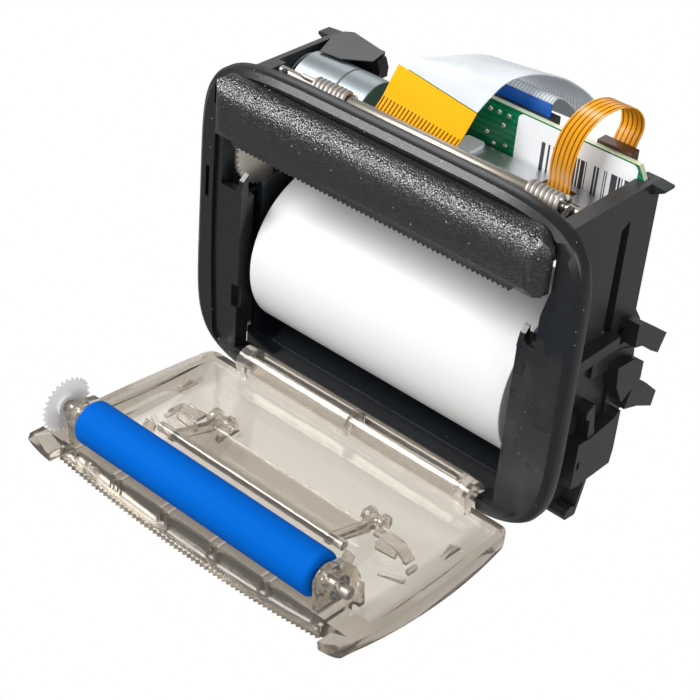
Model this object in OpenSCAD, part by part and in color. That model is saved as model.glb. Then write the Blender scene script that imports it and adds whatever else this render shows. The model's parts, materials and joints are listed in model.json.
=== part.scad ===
// Panel-mount receipt printer with an easy-load paper door.
// Frame: X across the printer, Y from the front panel towards the rear, Z up.
// The origin is the centre of the panel cut-out, on the rear face of the bezel flange.
// The door is drawn closed and then swung down to its open stop, the pose at rest.

/* [Bezel] */
// Width of each side post of the bezel
post_w = 14.8; // [14.2:0.1:16]
// Height of the bezel's upper edge above the platen's axis
head_room = 27.7; // [27.4:0.1:29]
// Thickness of the bezel in front of the panel
bezel_t = 5.5; // [5.2:0.1:6.5]
// Depth of the door's seat in the bezel's face
seat_depth = 0.9; // [0.6:0.1:1.2]
// Clearance between an end of the roll and the post beside it
side_clear = 2.75; // [2.5:0.05:3.1]

/* [Chassis] */
// Thickness of a side wall
wall_t = 1.6; // [1.3:0.1:1.8]
// Depth of the side walls behind the panel
wall_depth = 34.5; // [34:0.5:37]
// Width of the inward flange along the top of a side wall
top_flange_w = 3.9; // [3:0.1:4.4]
// Diameter of the screw holes in the rear of the mounting frames
boss_hole_d = 2.6; // [2.2:0.1:2.8]

/* [Paper] */
// Width of the paper roll
roll_w = 79.5; // [76:0.5:80]
// Diameter of the paper roll
roll_d = 44; // [40:0.5:44.5]
// Outer diameter of the cardboard core
core_d = 17; // [15:0.5:20]
// Wall of the cardboard core
core_t = 1.6; // [1:0.1:2]
// Clearance between a lying roll and the floor of its bucket
roll_gap = 0.3; // [0.2:0.05:0.4]
// Wall of the paper bucket
bucket_t = 1.5; // [1.2:0.1:1.8]

/* [Door] */
// Angle through which the door swings from shut to its open stop
open_angle = 87.3; // [84:0.1:88]
// Distance of the hinge axis behind the bezel's face
hinge_in = 2.1; // [2:0.05:2.2]
// Height of the hinge axis above the bezel's lower edge
hinge_up = 2.1; // [2:0.05:2.3]
// Radius of the door's bowed side edges
door_side_r = 480; // [440:5:520]
// Wall of the door
door_t = 2; // [1.6:0.1:2.3]
// Depth of the door's crown in front of its rim
door_crown = 7.3; // [6.8:0.1:8]
// Radius of the arc that the door's face follows across its width
crown_r = 325; // [300:5:360]
// Radius of the hinge knuckles
knuckle_r = 3.7; // [3.5:0.05:3.8]
// Diameter of the hinge pins
pin_d = 2.4; // [2:0.1:2.6]
// Radial clearance of pins and shafts in their bores
fit = 0.05; // [0.03:0.01:0.08]
// Pitch of the teeth along the tear edges
tear_pitch = 1.4; // [1.2:0.1:1.8]

/* [Platen] */
// Diameter of the rubber platen roller
platen_d = 11.2; // [10.8:0.1:11.4]
// Distance of the platen axis from the hinge axis
platen_reach = 55.6; // [54:0.1:57]
// Diameter of the platen shaft
platen_shaft_d = 3; // [2.6:0.1:3.2]
// Outer diameter of the platen bushes
bush_d = 6.4; // [6:0.1:7]

/* [Gear train] */
// Module of all gears
gear_module = 0.5; // [0.5:0.01:0.51]
// Teeth of the platen gear
platen_teeth = 28; // [28]
// Teeth of the drive wheel's small pinion
pinion_teeth = 12; // [12]
// Teeth of the drive wheel
wheel_teeth = 48; // [48]
// Teeth of the motor pinion
motor_teeth = 16; // [16]
// Backlash between meshing teeth, measured along the pitch circle
backlash = 0.14; // [0.1:0.01:0.18]
// Face width of the platen gear
platen_gear_w = 2.4; // [2:0.1:2.5]

/* [Mechanism] */
// Diameter of the steel lever shaft
lever_shaft_d = 2.6; // [2.4:0.1:2.8]
// Distance of the lever shaft behind the panel face
lever_shaft_y = 9.4; // [9.2:0.1:9.8]
// Wire diameter of the torsion springs
spring_wire_d = 1; // [0.8:0.05:1]
// Diameter of the stepper motor's can
motor_d = 18; // [17:0.5:18.5]
// Length of the stepper motor's can
motor_l = 22; // [20:0.5:24]
// Thickness of the circuit board
board_t = 1.6; // [1.4:0.1:1.8]
// Distance of the board's front face behind the panel face
board_y = 30; // [29.9:0.05:30.4]
// Largest tilt of the release bar
bar_swing = 8; // [4:1:8]

/* [Hidden] */
$fn = 48;
over = 0.1; // how far a cutting shape runs past the face it cuts
gap = 0.3; // clearance between parts that must not touch
far = 200; // reach of shapes that cut right through
land = 0.2; // height of the land on the flange's rear face

// ---- Places across the printer, all built up from the width of the roll ----
roll_half = roll_w / 2;
post_gap = roll_half + side_clear; // inner edge of a post
wall_x = post_gap + 6; // outer face of a side wall
wall_in = wall_x - wall_t;
upper_gap = post_gap + 7; // half the wide upper opening
frame_x = wall_x + 5.5; // outer face of the mounting frames
shelf_x = frame_x - 2;
door_half_w = post_gap + 8.6;
bezel_w = 2 * (post_gap + post_w);
knuckle_x = post_gap - 4.9;
lower_cut_x = knuckle_x + 0.8; // the bezel's lower rail stops beside the hinge
cheek_x = [post_gap - 4.1, post_gap - 2.3]; // cheeks that hold the platen's bushes
platen_w = 2 * (cheek_x[0] - 1.4);
platen_shaft_x = post_gap + 2.8;
platen_gear_x = -wall_x + 0.3; // outer face of the platen gear
bar_half_w = upper_gap - 0.1;
arm_in = post_gap + 0.7; // outer face of the bar's arms
arm_t = 1.4;
head_half = post_gap - 5;
ear_in = post_gap - 3.9; // inner face of the ears that the head swings on
motor_x = -wall_in + 2.2; // front face of the motor's can
plate_left = motor_x + motor_l + 1.2; // left end of the cross plate
board_right = wall_in - 0.3;

// ---- Heights, built up from the hinge and the platen ----
// The platen's shut place leans back from the hinge by the angle that brings it under the head.
platen_lean = 6.8;
platen_rise = platen_reach * cos(platen_lean);
bezel_h = hinge_up + platen_rise + head_room;
face_y = -bezel_t;
seat_y = face_y + seat_depth;
hinge_y = face_y + hinge_in;
hinge_z = -bezel_h / 2 + hinge_up;
platen_y = hinge_y + platen_reach * sin(platen_lean);
platen_z = hinge_z + platen_rise;
rim_y = seat_y - gap; // rim plane of the shut door
notch_z = platen_z - 6; // height at which the opening widens
opening_top = platen_z + 24.2;
opening_corner = 7;
wall_top = platen_z + 22.2;
door_top = platen_z + 5.4; // tips of the door's tear edge
lever_shaft_z = wall_top - lever_shaft_d / 2 - 0.15;
cross_z = platen_z + 12.8; // underside of the cross plate
board_top = platen_z + 25.4;
frame_z = -hinge_z - 3.5; // depth of the side walls below the centre
shelf_z = hinge_z + 41.4; // top of the frames' shelves

// The roll lies on the floor of the bucket, behind the posts.
roll_y = roll_d / 2 - 3.3;
floor_z = hinge_z + 4.5;
roll_z = floor_z + roll_gap + roll_d / 2;
bucket_r = roll_d / 2 + 2.2; // inner radius of the bucket's rear
bucket_y = roll_y + 1.3;

function pitch_r(teeth) = gear_module * teeth / 2;

// The drive wheel lies where the platen gear swings into mesh straight along the line of centres.
mesh_dir = -platen_lean;
wheel_y = platen_y + (pitch_r(platen_teeth) + pitch_r(pinion_teeth)) * cos(mesh_dir);
wheel_z = platen_z + (pitch_r(platen_teeth) + pitch_r(pinion_teeth)) * sin(mesh_dir);
motor_dir = 62;
motor_y = wheel_y + (pitch_r(wheel_teeth) + pitch_r(motor_teeth)) * cos(motor_dir);
motor_z = wheel_z + (pitch_r(wheel_teeth) + pitch_r(motor_teeth)) * sin(motor_dir);

wheel_x = -wall_x - 3; // outer face of the drive wheel
wheel_w = 1.7;
pinion_in_x = platen_gear_x + platen_gear_w + 0.3; // inner end of the long pinion
case_x = wheel_x - 0.4; // inner face of the gear case's floor
case_t = 1.1;

// ---- General shapes ----

// A box given by its limits along X, Y and Z.
module block(x, y, z) {
    translate([x[0], y[0], z[0]]) cube([x[1] - x[0], y[1] - y[0], z[1] - z[0]]);
}

// The same shape on both sides of the printer.
module both_sides() {
    children();
    mirror([1, 0, 0]) children();
}

// A rod along X between two places.
module rod_x(x0, x1, y, z, d) {
    translate([x0, y, z]) rotate([0, 90, 0]) cylinder(h = x1 - x0, d = d);
}

// A flat outline in X and Z, extruded along Y between two depths.
module plate_y(y0, y1) {
    translate([0, y1, 0]) rotate([90, 0, 0]) linear_extrude(y1 - y0) children();
}

// An outline in Y and Z, extruded along X between two places.
module plate_x(x0, x1) {
    translate([x0, 0, 0]) rotate([90, 0, 90]) linear_extrude(x1 - x0) children();
}

// Swings a piece of the shut door down to the open stop.
module opened() {
    translate([0, hinge_y, hinge_z]) rotate([open_angle, 0, 0])
        translate([0, -hinge_y, -hinge_z]) children();
}

// Superellipse: the outline of the bezel, inset by a margin.
function rounded_outline(w, h, inset, n = 96) = [
    for (i = [0 : n - 1])
        let (a = 360 * (i + 0.5) / n, c = cos(a), s = sin(a))
        [sign(c) * (w / 2 - inset) * pow(abs(c), 1 / 3),
         sign(s) * (h / 2 - inset) * pow(abs(s), 1 / 3)]
];

// Half the door's width at a height, along its bowed side edge.
function door_w(z) = door_half_w - pow(z - notch_z + 4.8, 2) / (2 * door_side_r);

// The door's outline from its lower edge to its top, widened by a margin.
door_bottom = hinge_z + 2.2;
door_corner = 2.4;
function door_outline(margin, top) = [
    for (i = [0 : 10])
        let (z = top + margin - (top + margin - door_bottom - door_corner) * i / 10)
        [door_w(z) + margin, z],
    for (a = [-30 : -30 : -90])
        [door_w(door_bottom) - door_corner + (door_corner + margin) * cos(a),
         door_bottom + door_corner + (door_corner + margin) * sin(a)],
    for (a = [-90 : -30 : -150])
        [-door_w(door_bottom) + door_corner + (door_corner + margin) * cos(a),
         door_bottom + door_corner + (door_corner + margin) * sin(a)],
    for (i = [10 : -1 : 0])
        let (z = top + margin - (top + margin - door_bottom - door_corner) * i / 10)
        [-door_w(z) - margin, z]
];

// One flank point of an involute tooth: radius to polar point about the tooth's centre line.
function inv(a) = tan(a) * 180 / PI - a;
pressure = 20;
function flank(teeth, r) =
    let (rb = pitch_r(teeth) * cos(pressure),
         half = (gear_module * PI / 2 - backlash / 2) / 2 / pitch_r(teeth) * 180 / PI,
         a = r > rb ? acos(rb / r) : 0)
    half + inv(pressure) - inv(a);

// Outline of an involute gear with stub teeth, one tooth centred on the X axis.
function gear_outline(teeth) =
    let (r = pitch_r(teeth), tip = r + 0.8 * gear_module, root = r - 1.1 * gear_module,
         low = max(root + 0.1, r * cos(pressure)))
    [for (t = [0 : teeth - 1]) each
        let (c = 360 * t / teeth)
        [[root * cos(c - flank(teeth, low) - 1), root * sin(c - flank(teeth, low) - 1)],
         [low * cos(c - flank(teeth, low)), low * sin(c - flank(teeth, low))],
         [r * cos(c - flank(teeth, r)), r * sin(c - flank(teeth, r))],
         [tip * cos(c - flank(teeth, tip)), tip * sin(c - flank(teeth, tip))],
         [tip * cos(c + flank(teeth, tip)), tip * sin(c + flank(teeth, tip))],
         [r * cos(c + flank(teeth, r)), r * sin(c + flank(teeth, r))],
         [low * cos(c + flank(teeth, low)), low * sin(c + flank(teeth, low))],
         [root * cos(c + flank(teeth, low) + 1), root * sin(c + flank(teeth, low) + 1)]]
    ];

// A gear along X, turned so that a tooth points in the given direction in Y and Z.
module gear(teeth, x, w, y, z, tooth_at) {
    translate([x, y, z]) rotate([90, 0, 90]) rotate([0, 0, tooth_at])
        linear_extrude(w) polygon(gear_outline(teeth));
}

// A helical wire along X: a ring of points swept along its turns.
module helix_wire(x0, pitch, turns, r, wire_d, y, z, steps = 14, sides = 6) {
    n = round(turns * steps);
    points = [
        for (i = [0 : n]) let (a = 360 * i / steps, x = x0 + pitch * i / steps)
            for (k = [0 : sides - 1])
                let (b = 360 * k / sides, q = r + wire_d / 2 * cos(b))
                [x + wire_d / 2 * sin(b), y + q * cos(a), z + q * sin(a)]
    ];
    faces = concat(
        [[for (k = [0 : sides - 1]) k]],
        [for (i = [0 : n - 1]) for (k = [0 : sides - 1])
            [i * sides + k, (i + 1) * sides + k, (i + 1) * sides + (k + 1) % sides,
             i * sides + (k + 1) % sides]],
        [[for (k = [sides - 1 : -1 : 0]) n * sides + k]]
    );
    polyhedron(points, faces);
}

// ---- Bezel ----

// Outline of the ring, which reaches lower at its feet than at its top.
foot_drop = 1.8;
function bezel_outline(inset) = [
    for (p = rounded_outline(bezel_w, bezel_h, inset)) [p[0], p[1] < 0 ? p[1] - foot_drop : p[1]]
];

// Ring with rounded edges around the opening, open below where the door's hinge lies.
module front_bezel() {
    color("#2b2c2e") difference() {
        union() {
            hull() {
                plate_y(face_y, face_y + 0.1) polygon(bezel_outline(1.8));
                plate_y(face_y + 1, face_y + 1.1) polygon(bezel_outline(0.4));
                plate_y(face_y + 2, -1.4) polygon(bezel_outline(0));
                plate_y(-land - 0.1, -land) polygon(bezel_outline(0.6));
            }
            // land along the top, which bears on the panel
            block([-head_half, head_half], [-land - over, 0], [opening_top + 0.4, bezel_h / 2 - 1.3]);
        }
        // seat of the shut door
        plate_y(face_y - over, seat_y) polygon(door_outline(0.5, door_top + 3));
        // lower, narrow part of the opening, through the gap for the hinge
        block([-post_gap, post_gap], [face_y - over, over], [door_bottom, notch_z]);
        block([-lower_cut_x, lower_cut_x], [face_y - over, over], [-bezel_h, notch_z]);
        // wide part of the opening for the bar and the platen's ends
        plate_y(face_y - over, over) polygon(upper_outline());
        // room for the platen gear behind the left post's step
        block([-upper_gap, -post_gap], [-2.2, over], [notch_z - 3.2, notch_z + over]);
        block([-upper_gap, -post_gap], [face_y - over, over], [notch_z - 1.4, notch_z + over]);
        // shallow slit in the right post's step
        block([post_gap + 2.2, upper_gap + 1.2], [face_y - over, -3], [notch_z - 0.6, notch_z + over]);
        // long slot in the left post and the short one above it
        block([-upper_gap - 4.6, -upper_gap - 3.4], [face_y - over, -2.5], [notch_z - 6.4, notch_z + 2.2]);
        block([-upper_gap - 2.4, -upper_gap - 1.4], [face_y - over, -2.5], [notch_z + 20, notch_z + 25]);
        // latch notch in the left post's inner edge
        block([-post_gap - 2, 0], [face_y - over, -3], [hinge_z + 14.4, hinge_z + 20.9]);
    }
    color("#2b2c2e") {
        both_sides() guide_horn();
        // recessed wedge above the right post's step
        plate_y(-2.6, -0.9) polygon([
            [post_gap + 3.4, notch_z - 1], [upper_gap + 1, notch_z - 1], [upper_gap + 1, notch_z + 13.2],
            [upper_gap - 2, notch_z + 13.2], [post_gap + 3.4, notch_z + 6.5]
        ]);
    }
}

// Outline of the wide part of the opening, with round upper corners.
function upper_outline() = [
    [-upper_gap, notch_z], [upper_gap, notch_z],
    for (a = [0 : 15 : 90])
        [upper_gap - opening_corner * (1 - cos(a)), opening_top - opening_corner * (1 - sin(a))],
    for (a = [90 : 15 : 180])
        [-upper_gap + opening_corner * (1 + cos(a)), opening_top - opening_corner * (1 - sin(a))]
];

// Sloped horn at the top of a post, which leads the platen's bush into its seat.
module guide_horn() {
    plate_x(post_gap, post_gap + 1.4) polygon([
        [face_y + 0.6, notch_z - 2], [-2.3, notch_z - 2], [-2.3, notch_z + 3.2], [face_y + 1.4, notch_z + 1.6]
    ]);
}

// Two pins that stand in from the bezel's lower corners into the door's knuckles.
module hinge_pins() {
    color("#1f2022") both_sides() {
        rod_x(knuckle_x - 3, lower_cut_x, hinge_y, hinge_z, pin_d);
    }
}

// ---- Chassis ----

// Side wall with an inward flange, a groove and a snap lug at its rear corner.
module side_wall() {
    difference() {
        union() {
            plate_x(wall_in, wall_x) polygon([
                [-land, -frame_z], [wall_depth, -frame_z], [wall_depth, wall_top], [-land, wall_top]
            ]);
            block([wall_x - top_flange_w, wall_in + over], [2.4, wall_depth], [wall_top - 1.4, wall_top]);
            // bearing block of the lever shaft below the flange
            block([wall_x - top_flange_w, wall_in + over], [lever_shaft_y - 3, lever_shaft_y + 3],
                [lever_shaft_z - 2.6, wall_top]);
            // snap lug that catches behind the panel's edge
            plate_y(wall_depth - 4, wall_depth) polygon([
                [wall_x - over, wall_top - 2.8], [wall_x + 3.5, wall_top - 1], [wall_x + 3.5, wall_top - 0.3],
                [wall_x - over, wall_top]
            ]);
            // rib beside the groove
            block([wall_in - 1.2, wall_in + over], [20, 26], [notch_z - 8.8, notch_z + 22.2]);
        }
        rod_x(wall_x - top_flange_w - over, wall_in, lever_shaft_y, lever_shaft_z, lever_shaft_d + 2 * fit);
        // notch for the board's corner
        block([wall_x - 5, wall_in], [board_y - gap, board_y + board_t + gap], [notch_z + 11, bezel_h]);
        // groove for the board's guide, open below
        plate_x(wall_in - 0.4, wall_x + over) polygon([
            [21, notch_z - 9.8], [24.6, notch_z - 9.8], [24.2, notch_z + 21.2], [21.2, notch_z + 19.8]
        ]);
    }
}

module right_side_wall() {
    color("#3c3d3f") side_wall();
}

// The left wall has a window for the gears and holes for the motor.
module left_side_wall() {
    color("#3c3d3f") difference() {
        mirror([1, 0, 0]) side_wall();
        rod_x(-wall_x - over, -wall_in + over + 3, wheel_y, wheel_z, 2 * pitch_r(pinion_teeth) + 2.6);
        rod_x(-wall_x - over, -wall_in + over + 3, motor_y, motor_z, 2 * pitch_r(motor_teeth) + 3);
        block([-wall_in, 0], [motor_y - motor_d / 2 - 0.6, far], [notch_z + 8, far]);
        // passage for the platen gear as the door shuts
        plate_x(-wall_x - over, -wall_in + over) polygon([
            [-1, platen_z - 12], [platen_y + 9.5, platen_z - 12], [platen_y + 9.5, platen_z + 9.2],
            [-1, platen_z + 9.2]
        ]);
    }
}

// Lower side frame: shelves, a rear post and the ears that the printer is screwed down by.
module mounting_frame() {
    low = hinge_z + 4.4; // lower edge of the inner web
    web = wall_x + 1.6;
    difference() {
        union() {
            // upper shelf and the web against the side wall
            block([wall_x, shelf_x], [gap, 23.5], [shelf_z - 3.3, shelf_z]);
            block([wall_x, web], [gap, 31], [low, shelf_z - 3.3 + over]);
            // ledge that slopes down to the rear
            plate_x(wall_x, web + 1) polygon([
                [15, shelf_z - 8.4], [33.1, shelf_z - 11.1], [32.5, shelf_z - 7.3], [22, shelf_z - 4], [15, shelf_z - 3.3]
            ]);
            // tower with a rib and a round stop above it
            plate_x(web - over, frame_x) polygon([[10, low + 0.5], [14.2, low - 0.4], [14.2, low + 13.3], [10.2, low + 13.6]]);
            plate_x(web - over, frame_x - 0.3) polygon([
                [14, low + 13], [17, low + 13], [16, low + 16], [14.8, low + 23], [13.2, low + 23]
            ]);
            rod_x(web - over, frame_x, 13, low + 21.2, 3.4);
            // clip at the foot, held by a narrow strip
            plate_x(wall_x, frame_x) polygon([
                [9.6, low - 7.6], [10.6, low - 6.2], [12.4, low - 5.9], [13.4, low - 6.8], [14.2, low - 9.1],
                [13.6, low - 9.4], [10, low - 8.9]
            ]);
            plate_x(wall_x, frame_x) polygon([
                [13.2, low - 8.4], [14.2, low - 9.1], [16.8, low + 0.4], [16.8, low + 1], [15.6, low + 1]
            ]);
            block([wall_x, web], [9.8, 15.6], [low - 0.4, low + over]);
            plate_x(wall_x, web - 0.6) polygon([[9.8, low - 0.4], [9.8, low - 7], [13.6, low - 7], [15.8, low - 0.4]]);
            // lower plate
            plate_x(web - over, frame_x) polygon([
                [14, low], [25.9, low], [26.6, low + 4], [26.6, low + 15.4], [25.6, low + 15.4], [24.4, low + 14.4], [14, low + 13]
            ]);
            // slanted block with a screw hole in its rear
            plate_x(web - over, frame_x) polygon([
                [21.7, shelf_z - 7], [28, shelf_z - 7.6], [33, shelf_z - 10.4], [33, shelf_z - 15.2],
                [25.9, shelf_z - 18.9], [22.5, shelf_z - 13]
            ]);
            // two hooks behind it
            plate_x(web + over, frame_x) polygon([
                [27.5, shelf_z + 2.4], [30.5, shelf_z + 1.6], [41.3, shelf_z - 6], [38.9, shelf_z - 10.7],
                [35.3, shelf_z - 8.4], [31, shelf_z - 5], [27.5, shelf_z - 4]
            ]);
            plate_x(web + over, frame_x) polygon([
                [30, shelf_z - 16.8], [36.1, shelf_z - 18.1], [42, shelf_z - 23.4], [41, shelf_z - 27.5],
                [34, shelf_z - 24], [28, shelf_z - 22]
            ]);
            // rear rib that joins hooks, block and web
            plate_x(wall_x, web + 0.8) polygon([
                [24, shelf_z - 4], [32, shelf_z - 4], [33, shelf_z - 24], [26, shelf_z - 30], [24, shelf_z - 30]
            ]);
        }
        translate([(web + frame_x) / 2, boss_y + over, boss_z]) rotate([90, 0, 0]) cylinder(h = 8, d = boss_hole_d);
        // small slot in the tower's outer face
        block([frame_x - 1.6, frame_x + over], [11, 12], [low + 5.6, low + 7.8]);
    }
}
boss_y = 33; // rear face of the slanted blocks
boss_z = shelf_z - 12.8;

module right_mounting_frame() {
    color("#2f3032") mounting_frame();
}

module left_mounting_frame() {
    color("#2f3032") difference() {
        mirror([1, 0, 0]) mounting_frame();
        // lower shelf below the gear case
        block([-far, -wall_x + over], [-far, 23.5 + over], [left_shelf_z, far]);
        block([-far, -wall_x + over], [23.5, motor_y + pitch_r(motor_teeth) + 3], [left_shelf_z, far]);
    }
}

// Trough that the roll lies in, closed by two cheeks.
module paper_bucket() {
    foot_x = wall_in - 1.5;
    foot_low = floor_z - bucket_t - 2;
    color("#15171a") {
        difference() {
            union() {
                plate_x(-post_gap - bucket_t, post_gap + bucket_t) bucket_side(bucket_t);
                // feet against the side walls
                block([-foot_x, foot_x], [6, 9], [foot_low, floor_z - bucket_t + over]);
                block([-foot_x, foot_x], [24, 27], [foot_low, floor_z - bucket_t + 0.4]);
            }
            plate_x(-post_gap, post_gap) bucket_side(0, 30);
        }
    }
}

// Side outline of the bucket: flat floor, round rear, grown by the wall.
module bucket_side(t, rise = 0) {
    top = notch_z - 0.8 + rise;
    front = 2.7 - (rise > 0 ? over : 0);
    polygon([
        [front, floor_z - t], [bucket_y, floor_z - t],
        for (a = [-80 : 10 : 0])
            [bucket_y + (bucket_r + t) * cos(a), floor_z + bucket_r + (bucket_r + t) * sin(a)],
        [bucket_y + bucket_r + t, top - 16], [board_y + 4, top], [12, top], [front, notch_z - 1 + rise]
    ]);
}

// Steel plate across the chassis that carries the head, the motor and the board.
module cross_plate() {
    lip = 9.2; // front edge of the lip that carries the head's ears
    lip_rear = motor_y - motor_d / 2 - gap;
    rear = board_y - 1;
    plate_right = wall_in - 1.3;
    color("#b9bcbe") {
        difference() {
            union() {
                block([plate_left, plate_right], [13, rear], [cross_z, cross_z + 1]);
                block([-ear_in - 1, ear_in + 1], [lip, lip_rear], [cross_z, cross_z + 1]);
                block([plate_left, ear_in + 1], [lip_rear - over, 13.1], [cross_z, cross_z + 1]);
                // tongues above the head's springs
                for (x = [-head_spring_x, head_spring_x])
                    block([x - 2.6, x + 2.6], [2.8, lip + over], [cross_z, cross_z + 1]);
                block([plate_left, plate_right], [rear - 1, rear], [notch_z + 3.2, cross_z + 1]);
            }
            for (x = [0, 12]) translate([x, 20, cross_z - 1]) cylinder(h = 3, d = 3.4);
            // slot for the sensor's flex
            block([flex_x[0] - 1.5, flex_x[1] + 1], [24, 27], [cross_z - 1, cross_z + 2]);
        }
        // ears that the head swings on
        for (x = [-ear_in - 1, ear_in]) head_ear(x);
    }
}

head_pivot_y = 10.7;
head_pivot_z = platen_z + 8.3;
head_pin_d = 2;
head_spring_x = 24;

module head_ear(x) {
    difference() {
        union() {
            block([x, x + 1], [head_pivot_y - 1.5, head_pivot_y + 1.5], [head_pivot_z - 1.8, head_pivot_z + 1.3]);
            block([x, x + 1], [head_pivot_y - 1.5, head_pivot_y + 0.5], [head_pivot_z - 1.8, cross_z + over]);
        }
        rod_x(x - 1, x + 2, head_pivot_y, head_pivot_z, head_pin_d + 2 * fit);
    }
}

// ---- Print head ----

head_face_z = platen_z + platen_d / 2 + 0.5;

// Ceramic heater strip whose line bears on the platen.
module thermal_head() {
    color("#e8e4da") block([-head_half, head_half], [1.3, 9], [head_face_z, head_face_z + 0.8]);
}

// Aluminium body behind the ceramic, with the pins it swings on.
module heat_sink() {
    color("#aeb2b6") {
        difference() {
            block([-head_half, head_half], [2.2, head_pivot_y + 1.2], [head_face_z + 0.8, head_face_z + 3.4]);
            // seats of the springs
            for (x = [-head_spring_x, head_spring_x])
                translate([x, 5.4, head_face_z + 2.9]) cylinder(h = 3, d = 5);
        }
        rod_x(-ear_in - 0.9, ear_in + 0.9, head_pivot_y, head_pivot_z, head_pin_d);
    }
}

// Springs between the head and the cross plate's tongues.
module head_springs() {
    color("#8f9396") for (x = [-head_spring_x, head_spring_x])
        translate([x, 5.4, 0]) helix_up(head_face_z + 2.95, cross_z - 0.02, 1.9, 0.5, 4);
}

// A short compression spring standing along Z.
module helix_up(z0, z1, r, wire_d, turns) {
    rotate([0, -90, 0]) helix_wire(z0 + wire_d / 2, (z1 - z0 - wire_d) / turns, turns, r, wire_d, 0, 0, 12, 5);
}

// ---- Release bar ----

// Outline of the bar's section: a crowned face that ends in the tear edge.
bar_low = platen_z + 9.1; // lower edge of the crowned face
bar_top = platen_z + 25;
bar_front_y = -10.7;
bar_face = [
    [-6.1, bar_top - 0.2], [-7.6, bar_top - 0.6], [-8.9, bar_top - 1.9], [-9.9, bar_top - 4.3], [-10.6, bar_top - 7.8],
    [bar_front_y, bar_top - 11.2], [-10.3, bar_top - 14.2], [-9.5, bar_low]
];
bar_inside = [
    [-7.8, bar_low], [-8.4, bar_low + 2], [-8.7, bar_low + 4.6], [-8.6, bar_low + 8], [-8.1, bar_low + 10.8],
    [-7.2, bar_low + 12.6], [-6.1, bar_low + 13.5]
];
module release_bar() {
    color("#1d1e20") difference() {
        union() {
            intersection() {
                union() {
                    plate_x(-bar_half_w, bar_half_w) polygon(concat(bar_face, bar_inside));
                    // solid end caps
                    both_sides() plate_x(bar_half_w - 4.2, bar_half_w) polygon(concat(
                        bar_face, [[-6.2, bar_low + 0.6], [-6.2, bar_top - 2]]
                    ));
                }
                // the ends sweep back towards the bezel and their upper corners are round
                translate([0, 0, -far]) linear_extrude(2 * far) polygon(bar_plan());
                plate_y(-far, far) polygon(bar_front());
            }
            // tear teeth along the lower edge
            plate_y(-9.5, -8.3) polygon(tear_line(-post_gap + 0.5, post_gap - 0.5, bar_low + 0.4, bar_low - 1.3, 60));
            // arms that reach back to the shaft
            both_sides() bar_arm();
        }
        rod_x(-far, far, lever_shaft_y, lever_shaft_z, lever_shaft_d + 2 * fit);
    }
}

// The bar's plan: straight in the middle, with ends that curve back.
bar_end = 6; // width of each curved end
function bar_plan() = concat(
    [for (a = [0 : 10 : 90])
        [bar_half_w - bar_end + bar_end * sin(a), bar_front_y - 0.1 + (-5.6 - bar_front_y) * (1 - cos(a))]],
    [[bar_half_w, 0], [-bar_half_w, 0]],
    [for (a = [90 : -10 : 0])
        [-bar_half_w + bar_end - bar_end * sin(a), bar_front_y - 0.1 + (-5.6 - bar_front_y) * (1 - cos(a))]]
);

// The bar's front outline, with round upper corners.
function bar_front() = concat(
    [[-bar_half_w, bar_low - 3], [bar_half_w, bar_low - 3]],
    [for (a = [0 : 15 : 90])
        [bar_half_w - bar_end * (1 - cos(a)), bar_top - bar_end * (1 - sin(a))]],
    [for (a = [90 : 15 : 180])
        [-bar_half_w + bar_end * (1 + cos(a)), bar_top - bar_end * (1 - sin(a))]]
);

// Arm of the bar, with a boss around the lever shaft.
module bar_arm() {
    plate_x(arm_in - arm_t, arm_in) polygon([
        [-8.8, bar_low + 5], [-4.8, bar_low + 5], [lever_shaft_y + 1.6, lever_shaft_z - 2.4],
        [lever_shaft_y + 2.2, lever_shaft_z], [lever_shaft_y + 0.6, lever_shaft_z + 1.35],
        [lever_shaft_y - 2.4, lever_shaft_z + 1.1], [1, lever_shaft_z - 2.1], [-8.2, lever_shaft_z - 2.8]
    ]);
}

// Saw-tooth outline between two places, pointing from a base line to a tip line.
function tear_line(x0, x1, base, tip, n) = concat(
    [[x0, base]],
    [for (i = [0 : n - 1]) each
        let (p = (x1 - x0) / n)
        [[x0 + p * i, tip + sign(base - tip) * 0.7], [x0 + p * (i + 0.5), tip]]],
    [[x1, tip + sign(base - tip) * 0.7], [x1, base]]
);

// Hooks on the bar that hold the platen's bushes when the door is shut.
module latch_levers() {
    out = lever_shaft_y + 1.9;
    color("#26272a") both_sides() difference() {
        plate_x(arm_in - arm_t - 1.2, arm_in - arm_t) polygon([
            [lever_shaft_y - 2.6, lever_shaft_z - 2], [out, lever_shaft_z - 2], [out, platen_z - 4],
            [lever_shaft_y + 0.2, platen_z - 4], [lever_shaft_y + 0.2, platen_z + 7.2], [lever_shaft_y - 1.6, platen_z + 11]
        ]);
        rod_x(0, far, lever_shaft_y, lever_shaft_z, lever_shaft_d + 2 * fit);
    }
}

// ---- Shaft, springs ----

// Steel rod that the bar and its springs sit on.
module lever_shaft() {
    color("#c9ccd0") rod_x(-wall_in + 0.3, wall_in - 0.3, lever_shaft_y, lever_shaft_z, lever_shaft_d);
}

spring_r = lever_shaft_d / 2 + 0.25 + spring_wire_d / 2;
module left_torsion_spring() {
    color("#b5b8bc") helix_wire(-post_gap + 7.1, 1.08 * spring_wire_d, 12, spring_r, spring_wire_d, lever_shaft_y, lever_shaft_z);
}

module right_torsion_spring() {
    color("#b5b8bc") helix_wire(post_gap - 11.8, 1.1 * spring_wire_d, 8, spring_r, spring_wire_d, lever_shaft_y, lever_shaft_z);
}

// ---- Motor and gears ----

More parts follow.
